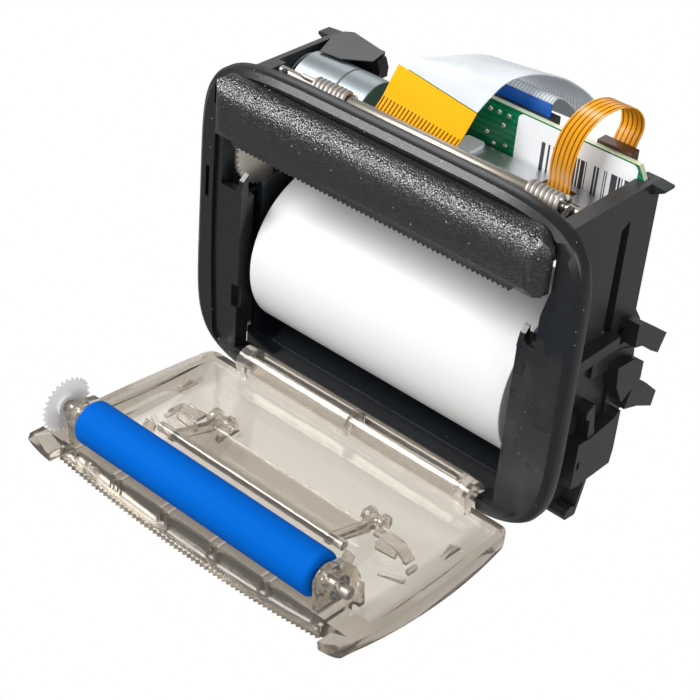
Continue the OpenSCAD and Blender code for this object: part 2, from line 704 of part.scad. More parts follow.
module stepper_motor() {
    color("#c4c8cc") {
        rod_x(motor_x, motor_x + motor_l * 0.58, motor_y, motor_z, motor_d);
        rod_x(motor_x + motor_l * 0.58 + 0.4, motor_x + motor_l, motor_y, motor_z, motor_d);
        rod_x(motor_x + motor_l * 0.58 - over, motor_x + motor_l * 0.58 + 0.5, motor_y, motor_z, motor_d - 0.8);
        // front bearing boss
        rod_x(-wall_in + 0.2, motor_x, motor_y, motor_z, 6);
    }
}

// Plate with two ears that screws the motor to the side wall.
module motor_flange() {
    color("#d0d3d6") difference() {
        plate_x(-wall_in + 0.1, -wall_in + 0.9) motor_flange_outline();
        rod_x(-wall_in, -wall_in + 2, motor_y, motor_z, 6.1);
        for (s = [-1, 1])
            rod_x(-wall_in, -wall_in + 2, motor_y + s * 10.6, motor_z, 2.2);
    }
}

module motor_flange_outline() {
    translate([motor_y, motor_z]) {
        circle(d = motor_d - 2);
        square([20, 5], center = true);
        for (s = [-1, 1]) translate([s * 10.6, 0]) circle(d = 4.4);
    }
}

// Pinion and shaft of the motor.
motor_shaft_d = 1.6;
module motor_pinion() {
    phase = 180 + motor_dir + 180 / motor_teeth;
    color("#c8b98a") {
        gear(motor_teeth, wheel_x, wheel_w + 0.6, motor_y, motor_z, phase);
        rod_x(wheel_x + wheel_w + 0.5, -wall_in + 0.1, motor_y, motor_z, 4.4);
    }
}

// Ivory drive wheel with the long pinion that turns the platen gear.
axle_d = 1.6;
module drive_wheel() {
    color("#efe6cf") difference() {
        union() {
            gear(wheel_teeth, wheel_x, wheel_w, wheel_y, wheel_z, motor_dir);
            gear(pinion_teeth, wheel_x + wheel_w - over, pinion_in_x - wheel_x - wheel_w + over,
                wheel_y, wheel_z, 180 + mesh_dir);
        }
        rod_x(wheel_x - 1, pinion_in_x + 1, wheel_y, wheel_z, axle_d + 2 * fit);
    }
}

module gear_axle() {
    color("#c9ccd0") rod_x(case_x - 0.1, pinion_in_x + 0.8, wheel_y, wheel_z, axle_d);
}

// Shallow box outside the left wall that covers the gears and holds their axle.
module gear_case() {
    color("#303134") difference() {
        intersection() {
            plate_x(case_x - case_t, -wall_x) case_side(0.8);
            // the outer upper edge is bevelled
            plate_y(-far, far) polygon([
                [case_x - case_t, -far], [case_x - case_t, motor_z + pitch_r(motor_teeth) + 0.9],
                [case_x, motor_z + pitch_r(motor_teeth) + 2], [0, far], [0, -far]
            ]);
        }
        plate_x(case_x, -wall_x + over) case_side(0);
        rod_x(case_x - case_t - over, case_x + over, wheel_y, wheel_z, axle_d);
    }
}

// Side outline of the space round the wheel and the motor's pinion, grown by a wall.
module case_side(t) {
    r = pitch_r(wheel_teeth) + 0.8 + t;
    q = pitch_r(motor_teeth) + 0.8 + t;
    polygon(concat(
        [[t > 0 ? 0 : -over, wheel_z - r], [wheel_y, wheel_z - r]],
        [for (a = [-75 : 15 : 15]) [wheel_y + r * cos(a), wheel_z + r * sin(a)]],
        [for (a = [0 : 15 : 90]) [motor_y + q * cos(a), motor_z + q * sin(a)]],
        [[wheel_y - 4, motor_z + q - 2], [t > 0 ? 0 : -over, wheel_z + r]]
    ));
}
left_shelf_z = wheel_z - pitch_r(wheel_teeth) - 1.9;

// Black moulding that shields the motor's wires at the left rear.
module cable_guard() {
    low = motor_z + motor_d / 2 + 0.4;
    top = wall_top + 0.4;
    color("#27282a") {
        translate([0, 0, low]) linear_extrude(top - low) polygon([
            [-wall_in, 34.3], [-wall_in, 30], [-wall_in + 3.6, 21.6], [-wall_in + 10, 22.4], [-wall_in + 15.8, 27.2],
            [-wall_in + 14.4, 33.4], [-wall_in + 2, 36]
        ]);
        // skirt behind the motor
        block([-wall_in + 1.2, -wall_in + 14], [motor_y + motor_d / 2 + 0.4, 34], [low - 12, low + over]);
        // lobe that droops at the right end
        plate_y(motor_y + motor_d / 2 + 0.4, 33.4) polygon([
            [-wall_in + 12.4, top - 0.4], [-wall_in + 15, top - 1], [-wall_in + 16, top - 3.4], [-wall_in + 15.8, top - 6],
            [-wall_in + 14.8, top - 6], [-wall_in + 14.6, top - 3.6], [-wall_in + 12.4, low]
        ]);
    }
}

// ---- Electronics ----

board_left = -22;
board_low = notch_z - 0.8;
socket_y = board_y + board_t; // rear face of the board
label_x = [board_right - 35.2, board_right - 1.8];
module main_board() {
    color("#0d6a3b") difference() {
        plate_y(board_y, board_y + board_t) polygon([
            [board_left, board_low], [board_right, board_low], [board_right, board_top - 3],
            [board_right - 1.8, board_top], [board_left, board_top]
        ]);
        for (x = [board_left + 4, board_right - 4])
            translate([x, board_y + 5, board_low + 4]) rotate([90, 0, 0]) cylinder(h = 9, d = 2.4);
    }
}

module board_screws() {
    color("#b0b3b6") for (x = [board_left + 4, board_right - 4])
        translate([x, board_y + board_t + 1.3, board_low + 4]) rotate([90, 0, 0]) {
            cylinder(h = 1.2, d = 4);
            cylinder(h = board_t + 1.2, d = 2);
        }
}

// Paper label on the board's front face.
module board_label() {
    color("#eef0f0") plate_y(board_y - 0.15, board_y) translate([label_x[0] + 1.5, board_low + 11.1])
        offset(r = 1.5) square([label_x[1] - label_x[0] - 3, board_top - board_low - 13]);
}

module processor_chip() {
    color("#1c1c1e") block([6, 18], [socket_y, socket_y + 1.4], [board_low + 8, board_low + 20]);
}

// Power inlet of the board.
module power_socket() {
    color("#e9e6dc") rear_socket(26, 11);
}

// Data connector of the board.
module data_socket() {
    color("#e9e6dc") rear_socket(-16, 16);
}

// Open box on the board's rear face that a lead plugs into.
module rear_socket(x, w) {
    difference() {
        block([x, x + w], [socket_y, socket_y + 8], [board_low + 4, board_low + 11]);
        block([x + 1, x + w - 1], [socket_y + 2, socket_y + 9], [board_low + 5, board_low + 10]);
    }
}

// Connector that takes the wide ribbon at the board's upper edge.
ribbon_x = [-6.6, 17.4];
module ribbon_socket() {
    color("#18181a") difference() {
        block([ribbon_x[0] - 1.5, ribbon_x[1] + 1.5], [socket_y, socket_y + 4.4], [board_top - 5.5, board_top - 0.4]);
        block([ribbon_x[0] - 0.1, ribbon_x[1] + 0.1], [socket_y + 2, socket_y + 2.7], [board_top - 4.5, board_top]);
    }
}

module ribbon_stiffener() {
    color("#1257a8") block(ribbon_x, [socket_y + 2.1, socket_y + 2.45], [board_top - 4.4, board_top + 2.6]);
}

// Flat strip swept through a list of [y, z, x-shift] stations, of a width and thickness.
module strip(stations, x, t) {
    n = len(stations);
    function normal(i) =
        let (a = stations[max(i - 1, 0)], b = stations[min(i + 1, n - 1)],
             d = [b[0] - a[0], b[1] - a[1]], l = norm(d))
        [-d[1] / l, d[0] / l];
    points = [
        for (i = [0 : n - 1]) let (s = stations[i], m = normal(i)) each [
            [x[0] + s[2], s[0] - m[0] * t / 2, s[1] + s[3] - m[1] * t / 2],
            [x[1] + s[2], s[0] - m[0] * t / 2, s[1] - m[1] * t / 2],
            [x[1] + s[2], s[0] + m[0] * t / 2, s[1] + m[1] * t / 2],
            [x[0] + s[2], s[0] + m[0] * t / 2, s[1] + s[3] + m[1] * t / 2]
        ]
    ];
    faces = concat(
        [[0, 2, 1], [0, 3, 2]],
        [for (i = [0 : n - 2]) for (k = [0 : 3]) let (
            a = i * 4 + k, b = i * 4 + (k + 1) % 4, c = b + 4, d = a + 4)
            each [[a, b, c], [a, c, d]]],
        [let (e = (n - 1) * 4) each [[e, e + 1, e + 2], [e, e + 2, e + 3]]]
    );
    polyhedron(points, faces);
}

// Smooth path through chosen points, by a Catmull-Rom curve.
function spline(p, steps) = [
    for (i = [0 : len(p) - 2]) for (j = [0 : steps - 1])
        let (t = j / steps, a = p[max(i - 1, 0)], b = p[i], c = p[i + 1], d = p[min(i + 2, len(p) - 1)])
        0.5 * (2 * b + (c - a) * t + (2 * a - 5 * b + 4 * c - d) * t * t + (3 * b - a - 3 * c + d) * t * t * t),
    p[len(p) - 1]
];

// Stations of the ribbon, as [y, z, shift along X, rise of its left edge], from the socket round to the film.
ribbon_route = [
    [socket_y + 2.3, board_top + 2.8, 0, 0], [35.8, board_top + 3.6, 0, 0], [40, board_top + 1.5, -0.4, -0.3],
    [46, board_top - 3.4, -1, -0.8], [51, board_top - 8.2, -1.6, -1], [55, board_top - 10.4, -1.9, -1],
    [57.4, board_top - 9.6, -2, -1], [56.8, board_top - 6.2, -2.2, -1.2], [53.7, board_top - 2.6, -2.5, -1.6],
    [47.5, board_top + 2.2, -3.4, -2.2], [42.2, board_top + 5.3, -4.4, -3.4], [35.9, board_top + 7.5, -5.9, -4.4],
    [30.9, board_top + 7.6, -7.9, -4.2], [27.5, board_top + 6.3, -9.4, -2.4], [25.2, board_top + 2.7, -11.4, 1.4],
    [22.3, board_top - 0.5, -12.4, 3.4]
];
module ribbon_cable() {
    color("#f2f4f6") strip(spline(ribbon_route, 4), ribbon_x, 0.3);
}

module flex_socket() {
    color("#4a2c1a") block([flex_x[0] + 7, flex_x[1] + 10.2], [socket_y, socket_y + 3.3], [board_top - 3.2, board_top + 0.8]);
}

flex_x = [25, 31.2];
flex_route = [
    [25.4, cross_z - 3, -0.5, 0], [25.2, cross_z + 2.4, 0, 0], [24.6, board_top - 6, 0.2, 0],
    [24.5, board_top - 0.8, 0.8, 0], [24.9, board_top + 4.1, 2, 0], [26.2, board_top + 8.2, 3.8, 0],
    [28.4, board_top + 10.4, 5.4, 0], [31.4, board_top + 11.1, 6.8, 0], [34.6, board_top + 10, 7.8, 0],
    [37.2, board_top + 7.2, 8.4, 0], [37.8, board_top + 4, 8.6, 0], [36.6, board_top + 1.6, 8.6, 0],
    [socket_y + 3.5, board_top - 1, 8.6, 0]
];
module sensor_flex() {
    color("#e39a1c") strip(spline(flex_route, 4), flex_x, 0.25);
}

// Amber film that joins the thermal head to the ribbon.
film_x = [ribbon_x[0] - 12.4, ribbon_x[1] - 12.4];
film_route = [
    [4.2, head_face_z + 4, 0, 0], [6, cross_z - 0.3, 0, 0], [8.2, cross_z + 2.4, 0, 0],
    [12, cross_z + 3.8, 0, 0.4], [17, cross_z + 6.4, 0, 2], [20, board_top - 3.2, 0, 3.2], [22.2, board_top - 0.7, 0, 3.4]
];
module head_film() {
    color("#f2b01e") strip(spline(film_route, 3), film_x, 0.2);
}

// Small optical sensor that sees the roll's end run low.
module paper_sensor() {
    color("#e4e6e6") block([wall_in - 2.7, wall_in], [24, 30], [shelf_z - 7, shelf_z - 2]);
}

// ---- Door ----

crown_y = rim_y - door_crown;
door_edge = 9.5; // width over which the door's face turns in to its rim

// Crown of the door's outer face across X: a shallow arc that turns in to the rim.
function crown(x, inset) =
    let (flat = door_half_w - door_edge, edge = crown_y + flat * flat / (2 * crown_r))
    abs(x) <= flat ? crown_y + x * x / (2 * crown_r) + inset
        : rim_y - (rim_y - edge - inset) * sqrt(max(0, 1 - pow((abs(x) - flat) / (door_edge + 0.2 - inset), 2)));

// Section of the door's body across X, from one rim to the other.
module door_section(inset) {
    w = door_half_w - inset;
    polygon(concat(
        [for (i = [-24 : 24]) let (x = w * sin(i * 90 / 24)) [x, crown(x, inset)]],
        [[w, rim_y + (inset > 0 ? over : 0)], [-w, rim_y + (inset > 0 ? over : 0)]]
    ));
}

// Side outline of the door's body: its face curves in towards the lower edge.
module door_side(inset, top) {
    low = door_bottom + inset;
    polygon(concat(
        [for (i = [0 : 12]) let (z = low + (top - low) * i / 12)
            [crown_y + inset + pow(z - notch_z + 2.8, 2) / 460, z]],
        [[rim_y + 1, top], [rim_y + 1, low]]
    ));
}

module door_body(inset, top) {
    intersection() {
        translate([0, 0, -far]) linear_extrude(2 * far) door_section(inset);
        plate_x(-far, far) door_side(inset, top);
        plate_y(-far, far) polygon(door_outline(-inset, top + inset));
    }
}

// Top beam of the door: a bowed comb wall with tear teeth, and pockets behind it.
beam_x = post_gap - 0.3;
beam_low = door_top - 10.8;
beam_in = platen_y - platen_d / 2 - 1.2; // inner face, towards the platen
pocket_pitch = 16;
module door_beam() {
    pockets = 5;
    difference() {
        translate([0, 0, beam_low]) linear_extrude(door_top - 1.6 - beam_low) beam_plan(1.2, beam_in);
        for (i = [0 : pockets - 1]) let (x = (i - (pockets - 1) / 2) * pocket_pitch)
            intersection() {
                translate([0, 0, beam_low + 2]) linear_extrude(far) beam_plan(2.8, beam_in - 1);
                block([x - pocket_pitch / 2 + 1.7, x + pocket_pitch / 2 - 1.7], [-far, 0], [beam_low + 2, door_top]);
            }
        // slot between the two ribs of a pair
        for (i = [0 : pockets - 2]) let (x = (i - (pockets - 2) / 2) * pocket_pitch)
            block([x - 0.8, x + 0.8], [crown_y + 4, beam_in - 1], [beam_low + 2, door_top]);
    }
    // comb: the teeth of the paper's tear edge
    intersection() {
        translate([0, 0, beam_low]) linear_extrude(far) beam_plan(1.2, crown_y + 6);
        difference() {
            plate_y(crown_y, crown_y + 5.5)
                polygon(tear_line(-beam_x, beam_x, door_top - 2, door_top, round(2 * beam_x / tear_pitch)));
            translate([0, 0, beam_low]) linear_extrude(far) beam_plan(2.4, crown_y + 7);
        }
    }
    // short walls that close the comb's ends
    both_sides() block([beam_x - 1, beam_x], [crown_y + 4, beam_in - 1.4], [beam_low, door_top - 0.6]);
}

// Plan of the beam: bowed like the door's face, at a depth behind it, up to a straight rear.
module beam_plan(depth, rear) {
    polygon(concat(
        [for (i = [-12 : 12]) let (x = i * beam_x / 12) [x, crown_y + x * x / (2 * crown_r) + depth]],
        [[beam_x, rear], [-beam_x, rear]]
    ));
}

// Solid upper ends of the door's side edges, which stand up beside the comb.
module door_tabs() {
    tab_top = door_top + 2;
    intersection() {
        translate([0, 0, -far]) linear_extrude(2 * far) door_section(0);
        plate_y(-far, far) polygon(door_outline(0, tab_top));
        union() for (s = [-1, 1]) scale([s, 1, 1])
            translate([0, 0, door_top - 9]) linear_extrude(20) polygon([
                [beam_x + 1.4, crown_y], [door_half_w, crown_y], [door_half_w, rim_y],
                [door_half_w - 2.6, rim_y + over], [beam_x + 1.4, crown_y + 5.4]
            ]);
        plate_x(-far, far) polygon([
            [crown_y - 1, door_top - 9], [crown_y - 1, tab_top - 1.6], [rim_y - 1.5, tab_top], [rim_y, tab_top - 0.6],
            [rim_y, door_top - 9]
        ]);
    }
}

// Cheek that holds a platen bush, on the inside of the door.
module bush_cheek() {
    difference() {
        plate_x(cheek_x[0], cheek_x[1]) polygon([
            [crown_y + 3.2, platen_z - 9.6], [platen_y - 3.4, platen_z - 9.8], [platen_y + 0.6, platen_z - 7.4],
            [platen_y + 4, platen_z - 3.6], [platen_y + 4.6, platen_z], [platen_y + 3.2, platen_z + 3.6],
            [platen_y - 1, platen_z + 4.4], [beam_in, door_top - 1.8], [crown_y + 3.2, door_top - 1.8]
        ]);
        rod_x(cheek_x[0] - over, cheek_x[1] + over, platen_y, platen_z, bush_d);
    }
    // fin that stiffens the cheek towards the door's floor
    plate_x(cheek_x[1] - over, cheek_x[1] + 1.6) polygon([
        [crown_y + 3.2, platen_z - 10.6], [crown_y + 3.2, platen_z - 8.6], [platen_y - 4, platen_z - 8.4],
        [platen_y - 4, platen_z - 9.2]
    ]);
}

// Knuckles, the rail between them and the bores for the hinge pins.
rail_r = 3.9;
knuckle_w = 3.4;
knuckle_y = hinge_y + 1.61;
knuckle_z = hinge_z + 1.98;
module door_hinge() {
    difference() {
        union() {
            both_sides() plate_x(knuckle_x - knuckle_w, knuckle_x) polygon([
                for (a = [-150 : 15 : 120])
                    [knuckle_y + knuckle_r * cos(a), knuckle_z + knuckle_r * sin(a)],
                [door_foot_y, knuckle_z + 2.6], [door_foot_y - 0.6, knuckle_z + 0.8]
            ]);
            rail_half();
            mirror([1, 0, 0]) rail_half();
            // foot of the rail on the door's floor
            plate_x(-knuckle_x, knuckle_x) polygon([
                [knuckle_y - 1, knuckle_z + 2.4], [door_foot_y, knuckle_z + 2.6], [door_foot_y - 1.4, knuckle_z + 0.6],
                [rim_y - 0.6, knuckle_z - 2], [knuckle_y, knuckle_z - 3]
            ]);
        }
        both_sides() rod_x(knuckle_x - knuckle_w + gap, knuckle_x + over, hinge_y, hinge_z, pin_d + 2 * fit);
        // the rail is hollow from behind
        both_sides() block([0.9, knuckle_x - knuckle_w - 1], [knuckle_y - 1.4, knuckle_y + 7],
            [knuckle_z - 2.2, knuckle_z + 1.8]);
    }
}
door_foot_y = crown_y + 5.6;

// Half of the rail; it stops short of the middle, where a step parts the two halves.
module rail_half() {
    intersection() {
        rod_x(0.5, knuckle_x - knuckle_w + over, knuckle_y, knuckle_z, 2 * rail_r);
        block([0, knuckle_x], [-far, far], [-bezel_h / 2 + 0.1, far]);
    }
}

// Ears on the door's floor that hold the pegs of the flap.
peg_y = -5.7;
peg_z = hinge_z + 22.4;
peg_d = 3;
ear_x = roll_half - 17.4;
module flap_ear() {
    difference() {
        plate_x(ear_x, ear_x + 1.6) polygon([
            [crown_y + 1.4, peg_z - 4], [peg_y - 1, peg_z - 3], [peg_y + 2, peg_z - 1.4], [peg_y + 2, peg_z + 1.6],
            [peg_y - 1, peg_z + 3], [crown_y + 1.4, peg_z + 4]
        ]);
        rod_x(ear_x - 1, ear_x + 3, peg_y, peg_z, peg_d + 2 * fit);
    }
}

// Bracket on the door's floor beside the flap: an upright web under a strip that bends down at its end.
module side_bracket() {
    x0 = ear_x + 7.5;
    z0 = peg_z + 5.2;
    floor = crown_y + 2.2;
    plate_y(floor, crown_y + 6) polygon([[x0, z0 - 0.6], [x0 + 6, z0 - 0.6], [x0 + 6, z0], [x0, z0]]);
    translate([0, 0, z0 - 3.4]) linear_extrude(3.4) polygon([
        [x0 - 1, floor + 4.6], [x0 + 5, floor + 4.2], [x0 + 7.6, floor + 3], [x0 + 9.2, floor + 1],
        [x0 + 9.8, floor - 1], [x0 + 10.6, floor - 1], [x0 + 10, floor + 1.4], [x0 + 8.2, floor + 3.8],
        [x0 + 5.3, floor + 5.1], [x0 - 1, floor + 5.5]
    ]);
    // short diagonal rib
    translate([x0 + 5.5, 0, z0 + 4.4]) rotate([0, 20, 0]) block([0, 6.4], [floor - 0.8, floor + 1.2], [0, 1.2]);
}

module door_shell() {
    color("#8d8679", 0.45) opened() difference() {
        union() {
            difference() {
                door_body(0, door_top - 2.4);
                door_body(door_t, door_top - 9.5);
            }
            door_beam();
            door_tabs();
            both_sides() bush_cheek();
            both_sides() flap_ear();
            both_sides() side_bracket();
            // gusset ribs in the lower corners
            both_sides() plate_x(post_gap + 0.5, post_gap + 1.7) polygon([
                [crown_y + 4, peg_z - 10], [rim_y - 0.1, peg_z - 5.6], [crown_y + 4, peg_z - 1]
            ]);
            door_hinge();
        }
    }
}

// Clear flap that swings on two pegs and presses the paper's edge.
flap_rail_y = platen_y - 4.98;
flap_rail_z = platen_z - 16.1;
flap_t = 1;
module flap_arm() {
    plate_x(ear_x + 2.2, ear_x + 4) polygon([
        [peg_y - 2.4, peg_z - 1], [peg_y, peg_z - 2.4], [peg_y + 1.7, peg_z], [peg_y + 1.6, peg_z + 5],
        [flap_rail_y + 0.4, flap_rail_z - 1.2], [flap_rail_y + 1, flap_rail_z + 0.8],
        [flap_rail_y - 1.4, flap_rail_z + 1], [peg_y - 1, peg_z + 5]
    ]);
}

module guide_flap() {
    half = ear_x + 2.3;
    color("#9a9386", 0.5) opened() {
        both_sides() {
            flap_arm();
            rod_x(ear_x - 0.2, ear_x + 5.6, peg_y, peg_z, peg_d);
            rod_x(ear_x + 4.6, ear_x + 6, peg_y, peg_z, peg_d + 1.8);
        }
        rod_x(-ear_x - 7.4, ear_x + 7.4, flap_rail_y, flap_rail_z, 2.6);
        // thin panel between the arms
        plate_x(-ear_x + 0.4 - 2.6, ear_x - 0.4 + 2.6) polygon([
            [flap_rail_y - 0.8, flap_rail_z], [peg_y + 0.6, peg_z + 5], [peg_y + 0.6 - flap_t, peg_z + 5],
            [flap_rail_y - 0.8 - flap_t, flap_rail_z - 0.6]
        ]);
        plate_x(-half, half) polygon([
            [peg_y + 0.6, peg_z + 5.1], [peg_y + 0.6, peg_z + 3.3], [peg_y + 0.6 - flap_t, peg_z + 3.3],
            [peg_y + 0.6 - flap_t, peg_z + 5.1]
        ]);
    }
}

// Small leaf finger that stands on the door's floor between flap and cheek.
module flap_spring() {
    color("#9a9386", 0.5) opened() both_sides() plate_x(ear_x + 9.4, ear_x + 10.6) polygon([
        [crown_y + 3.8, flap_rail_z + 1.2], [flap_rail_y - 1.2, flap_rail_z - 0.4], [flap_rail_y + 1.6, flap_rail_z + 2],
        [flap_rail_y + 0.4, flap_rail_z + 3], [crown_y + 3.8, flap_rail_z + 4]
    ]);
}

// Clear bushes that the platen shaft turns in, pressed into the cheeks.
module platen_bushes() {
    color("#bdb7ab", 0.6) opened() both_sides() difference() {
        union() {
            rod_x(cheek_x[0], cheek_x[1] + 2.2, platen_y, platen_z, bush_d);
            rod_x(cheek_x[0] - 0.9, cheek_x[0], platen_y, platen_z, bush_d + 1.2);
        }
        rod_x(0, far, platen_y, platen_z, platen_shaft_d + 2 * fit);
    }
}

// Blue rubber roller.
module platen_roller() {
    color("#0b63d6") opened() difference() {
        rod_x(-platen_w / 2, platen_w / 2, platen_y, platen_z, platen_d);
        rod_x(-far, far, platen_y, platen_z, platen_shaft_d);
    }
}

module platen_shaft() {
    color("#cfd2d6") opened() rod_x(platen_gear_x - 0.3, platen_shaft_x, platen_y, platen_z, platen_shaft_d);
}

// White gear pressed on the left end of the platen shaft.
module platen_gear() {
    color("#f4f5f4") opened() difference() {
        union() {
            gear(platen_teeth, platen_gear_x, platen_gear_w, platen_y, platen_z, mesh_dir + 180 / platen_teeth);
            rod_x(platen_gear_x + platen_gear_w - over, platen_gear_x + platen_gear_w + 0.8, platen_y, platen_z, 5.6);
        }
        rod_x(-far, 0, platen_y, platen_z, platen_shaft_d);
    }
}

// ---- Paper ----

module paper_roll() {
    color("#f5f6f6") difference() {
        rod_x(-roll_w / 2, roll_w / 2, roll_y, roll_z, roll_d);
        rod_x(-far, far, roll_y, roll_z, core_d);
    }
}

module paper_core() {
    color("#b08d63") difference() {
        rod_x(-roll_w / 2, roll_w / 2, roll_y, roll_z, core_d);
        rod_x(-far, far, roll_y, roll_z, core_d - 2 * core_t);
    }
}

front_bezel();
hinge_pins();
right_side_wall();
left_side_wall();
right_mounting_frame();
left_mounting_frame();
paper_bucket();
cross_plate();
gear_case();
gear_axle();
lever_shaft();
left_torsion_spring();
right_torsion_spring();
stepper_motor();
motor_flange();
motor_pinion();
drive_wheel();
cable_guard();
main_board();
board_screws();
board_label();
processor_chip();
power_socket();
data_socket();
ribbon_socket();
ribbon_stiffener();
ribbon_cable();
flex_socket();
sensor_flex();
head_film();
paper_sensor();
heat_sink();
thermal_head();
head_springs();
release_bar();
latch_levers();
door_shell();
guide_flap();
flap_spring();
platen_bushes();
platen_roller();
platen_shaft();
platen_gear();
paper_roll();
paper_core();
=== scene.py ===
"""Receipt printer for a panel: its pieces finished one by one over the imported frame."""

import json
import math

import bmesh
import bpy
import numpy as np
from mathutils import Matrix, Vector

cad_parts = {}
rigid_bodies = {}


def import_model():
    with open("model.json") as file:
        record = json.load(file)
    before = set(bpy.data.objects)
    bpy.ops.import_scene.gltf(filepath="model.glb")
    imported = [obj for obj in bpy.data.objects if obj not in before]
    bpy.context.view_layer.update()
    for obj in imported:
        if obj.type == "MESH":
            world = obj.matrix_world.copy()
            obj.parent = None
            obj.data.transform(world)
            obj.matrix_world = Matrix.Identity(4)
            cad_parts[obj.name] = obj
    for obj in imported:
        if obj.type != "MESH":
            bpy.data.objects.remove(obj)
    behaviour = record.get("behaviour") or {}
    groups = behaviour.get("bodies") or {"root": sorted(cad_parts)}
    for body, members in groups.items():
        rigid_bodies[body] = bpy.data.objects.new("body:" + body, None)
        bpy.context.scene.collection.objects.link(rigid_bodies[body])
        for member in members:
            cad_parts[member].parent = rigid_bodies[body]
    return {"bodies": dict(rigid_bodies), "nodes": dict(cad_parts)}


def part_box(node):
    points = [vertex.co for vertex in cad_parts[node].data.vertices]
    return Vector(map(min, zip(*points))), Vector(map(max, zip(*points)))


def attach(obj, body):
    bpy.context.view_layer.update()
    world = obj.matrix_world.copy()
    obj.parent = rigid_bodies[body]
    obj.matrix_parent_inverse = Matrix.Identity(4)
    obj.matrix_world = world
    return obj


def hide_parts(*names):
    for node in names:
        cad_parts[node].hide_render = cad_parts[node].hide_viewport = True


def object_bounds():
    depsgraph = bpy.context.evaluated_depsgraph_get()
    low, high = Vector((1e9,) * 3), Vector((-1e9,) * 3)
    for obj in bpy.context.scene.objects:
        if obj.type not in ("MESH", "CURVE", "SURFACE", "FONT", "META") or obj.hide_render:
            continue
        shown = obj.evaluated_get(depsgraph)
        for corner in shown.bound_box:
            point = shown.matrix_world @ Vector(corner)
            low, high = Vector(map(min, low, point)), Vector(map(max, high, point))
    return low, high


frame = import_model()
cad_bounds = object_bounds()
nodes = frame["nodes"]
MM = 0.001

# ---- Studio ----
# A white table that throws no shadow, a wide softbox above the printer's left side with
# weaker lights around it, and the camera before the right corner, a little above it.
scene = bpy.context.scene
camera_data = bpy.data.cameras.new("camera")
camera = bpy.data.objects.new("camera", camera_data)
scene.collection.objects.link(camera)
camera_data.lens = 93.17
camera_data.sensor_width = 36
camera_data.clip_start = 0.01
camera_place = (0.2207, -0.2833, 0.2309)
right = Vector((0.742, 0.6662, 0.075)).normalized()
back = Vector((0.515, -0.6382, 0.5723)).normalized()
up = back.cross(right).normalized()
camera_turn = Matrix((right, up, back)).transposed().to_4x4()
camera.matrix_world = Matrix.Translation(camera_place) @ camera_turn
scene.camera = camera
scene.view_settings.view_transform = "Standard"


def feed(tree, socket, value):
    """Links a socket to another one, or gives it the value where that is a number or a colour."""
    if isinstance(value, bpy.types.NodeSocket):
        tree.links.new(value, socket)
    else:
        socket.default_value = value


def reckon(tree, operation, *values):
    """One step of arithmetic on sockets and numbers; gives the socket that holds its result."""
    step = tree.nodes.new("ShaderNodeMath")
    step.operation = operation
    for slot, value in enumerate(values):
        feed(tree, step.inputs[slot], value)
    return step.outputs[0]


def spread(tree, value, low, high):
    """A value between nothing and one, spread evenly between low and high."""
    span = tree.nodes.new("ShaderNodeMapRange")
    span.inputs["To Min"].default_value = low
    span.inputs["To Max"].default_value = high
    tree.links.new(value, span.inputs["Value"])
    return span.outputs["Result"]


def glow(tree, shader, seen, felt):
    """Strength of a lit surface: seen by the eye, also through clear plastic, felt by the rest."""
    path = tree.nodes.new("ShaderNodeLightPath")
    direct = reckon(tree, "MAXIMUM",
                    path.outputs["Is Camera Ray"], path.outputs["Is Transmission Ray"])
    tree.links.new(spread(tree, direct, felt, seen), shader.inputs["Strength"])


seen_glow, felt_glow = 1.0, 0.36
world = bpy.data.worlds.new("studio")
scene.world = world
world.use_nodes = True
sky = world.node_tree.nodes["Background"]
sky.inputs["Color"].default_value = (1, 1, 1, 1)
glow(world.node_tree, sky, seen_glow, felt_glow)


def soft_light(name, place, size, watts):
    """A square area light at a place, turned to shine at the middle of the printer."""
    lamp = bpy.data.lights.new(name, "AREA")
    lamp.size = size
    lamp.energy = watts
    holder = bpy.data.objects.new(name, lamp)
    scene.collection.objects.link(holder)
    holder.location = place
    holder.rotation_euler = (-Vector(place)).to_track_quat("-Z", "Y").to_euler()


soft_light("key", (-0.42, -0.43, 0.57), size=0.36, watts=7.8)
soft_light("front", (0.15, -0.80, 0.22), size=0.6, watts=2.2)
soft_light("fill", (0.75, -0.15, 0.25), size=0.5, watts=2.6)
soft_light("rim", (-0.42, 0.58, 0.50), size=0.35, watts=0.8)

table_gap = 0.5 * MM
table_z = cad_bounds[0][2] - table_gap
half_table = 3
corners = [(-half_table, -half_table, table_z), (half_table, -half_table, table_z),
           (half_table, half_table, table_z), (-half_table, half_table, table_z)]
table_mesh = bpy.data.meshes.new("table")
table_mesh.from_pydata(corners, [], [(0, 1, 2, 3)])
table = bpy.data.objects.new("table", table_mesh)
scene.collection.objects.link(table)
table_white = bpy.data.materials.new("table_white")
table_white.use_nodes = True
table_tree = table_white.node_tree
table_tree.nodes.remove(table_tree.nodes["Principled BSDF"])
table_glow = table_tree.nodes.new("ShaderNodeEmission")
glow(table_tree, table_glow, seen_glow, felt_glow)
table_tree.links.new(table_glow.outputs[0], table_tree.nodes["Material Output"].inputs["Surface"])
table_mesh.materials.append(table_white)

# ---- Bezel and hinge pins ----
# The ring that covers the cut edge of the panel, moulded in charcoal plastic with a satin
# face and a small radius on every edge; the pins of the door's hinge are moulded on it.


def place_on(tree):
    """The socket of a piece's own Object coordinates, in metres."""
    return tree.nodes.new("ShaderNodeTexCoord").outputs["Object"]


def noise(tree, place, scale, detail):
    """A soft random value at each place; a higher scale makes it finer."""
    cloud = tree.nodes.new("ShaderNodeTexNoise")
    cloud.inputs["Detail"].default_value = detail
    feed(tree, cloud.inputs["Scale"], scale)
    tree.links.new(place, cloud.inputs["Vector"])
    return cloud.outputs["Fac"]


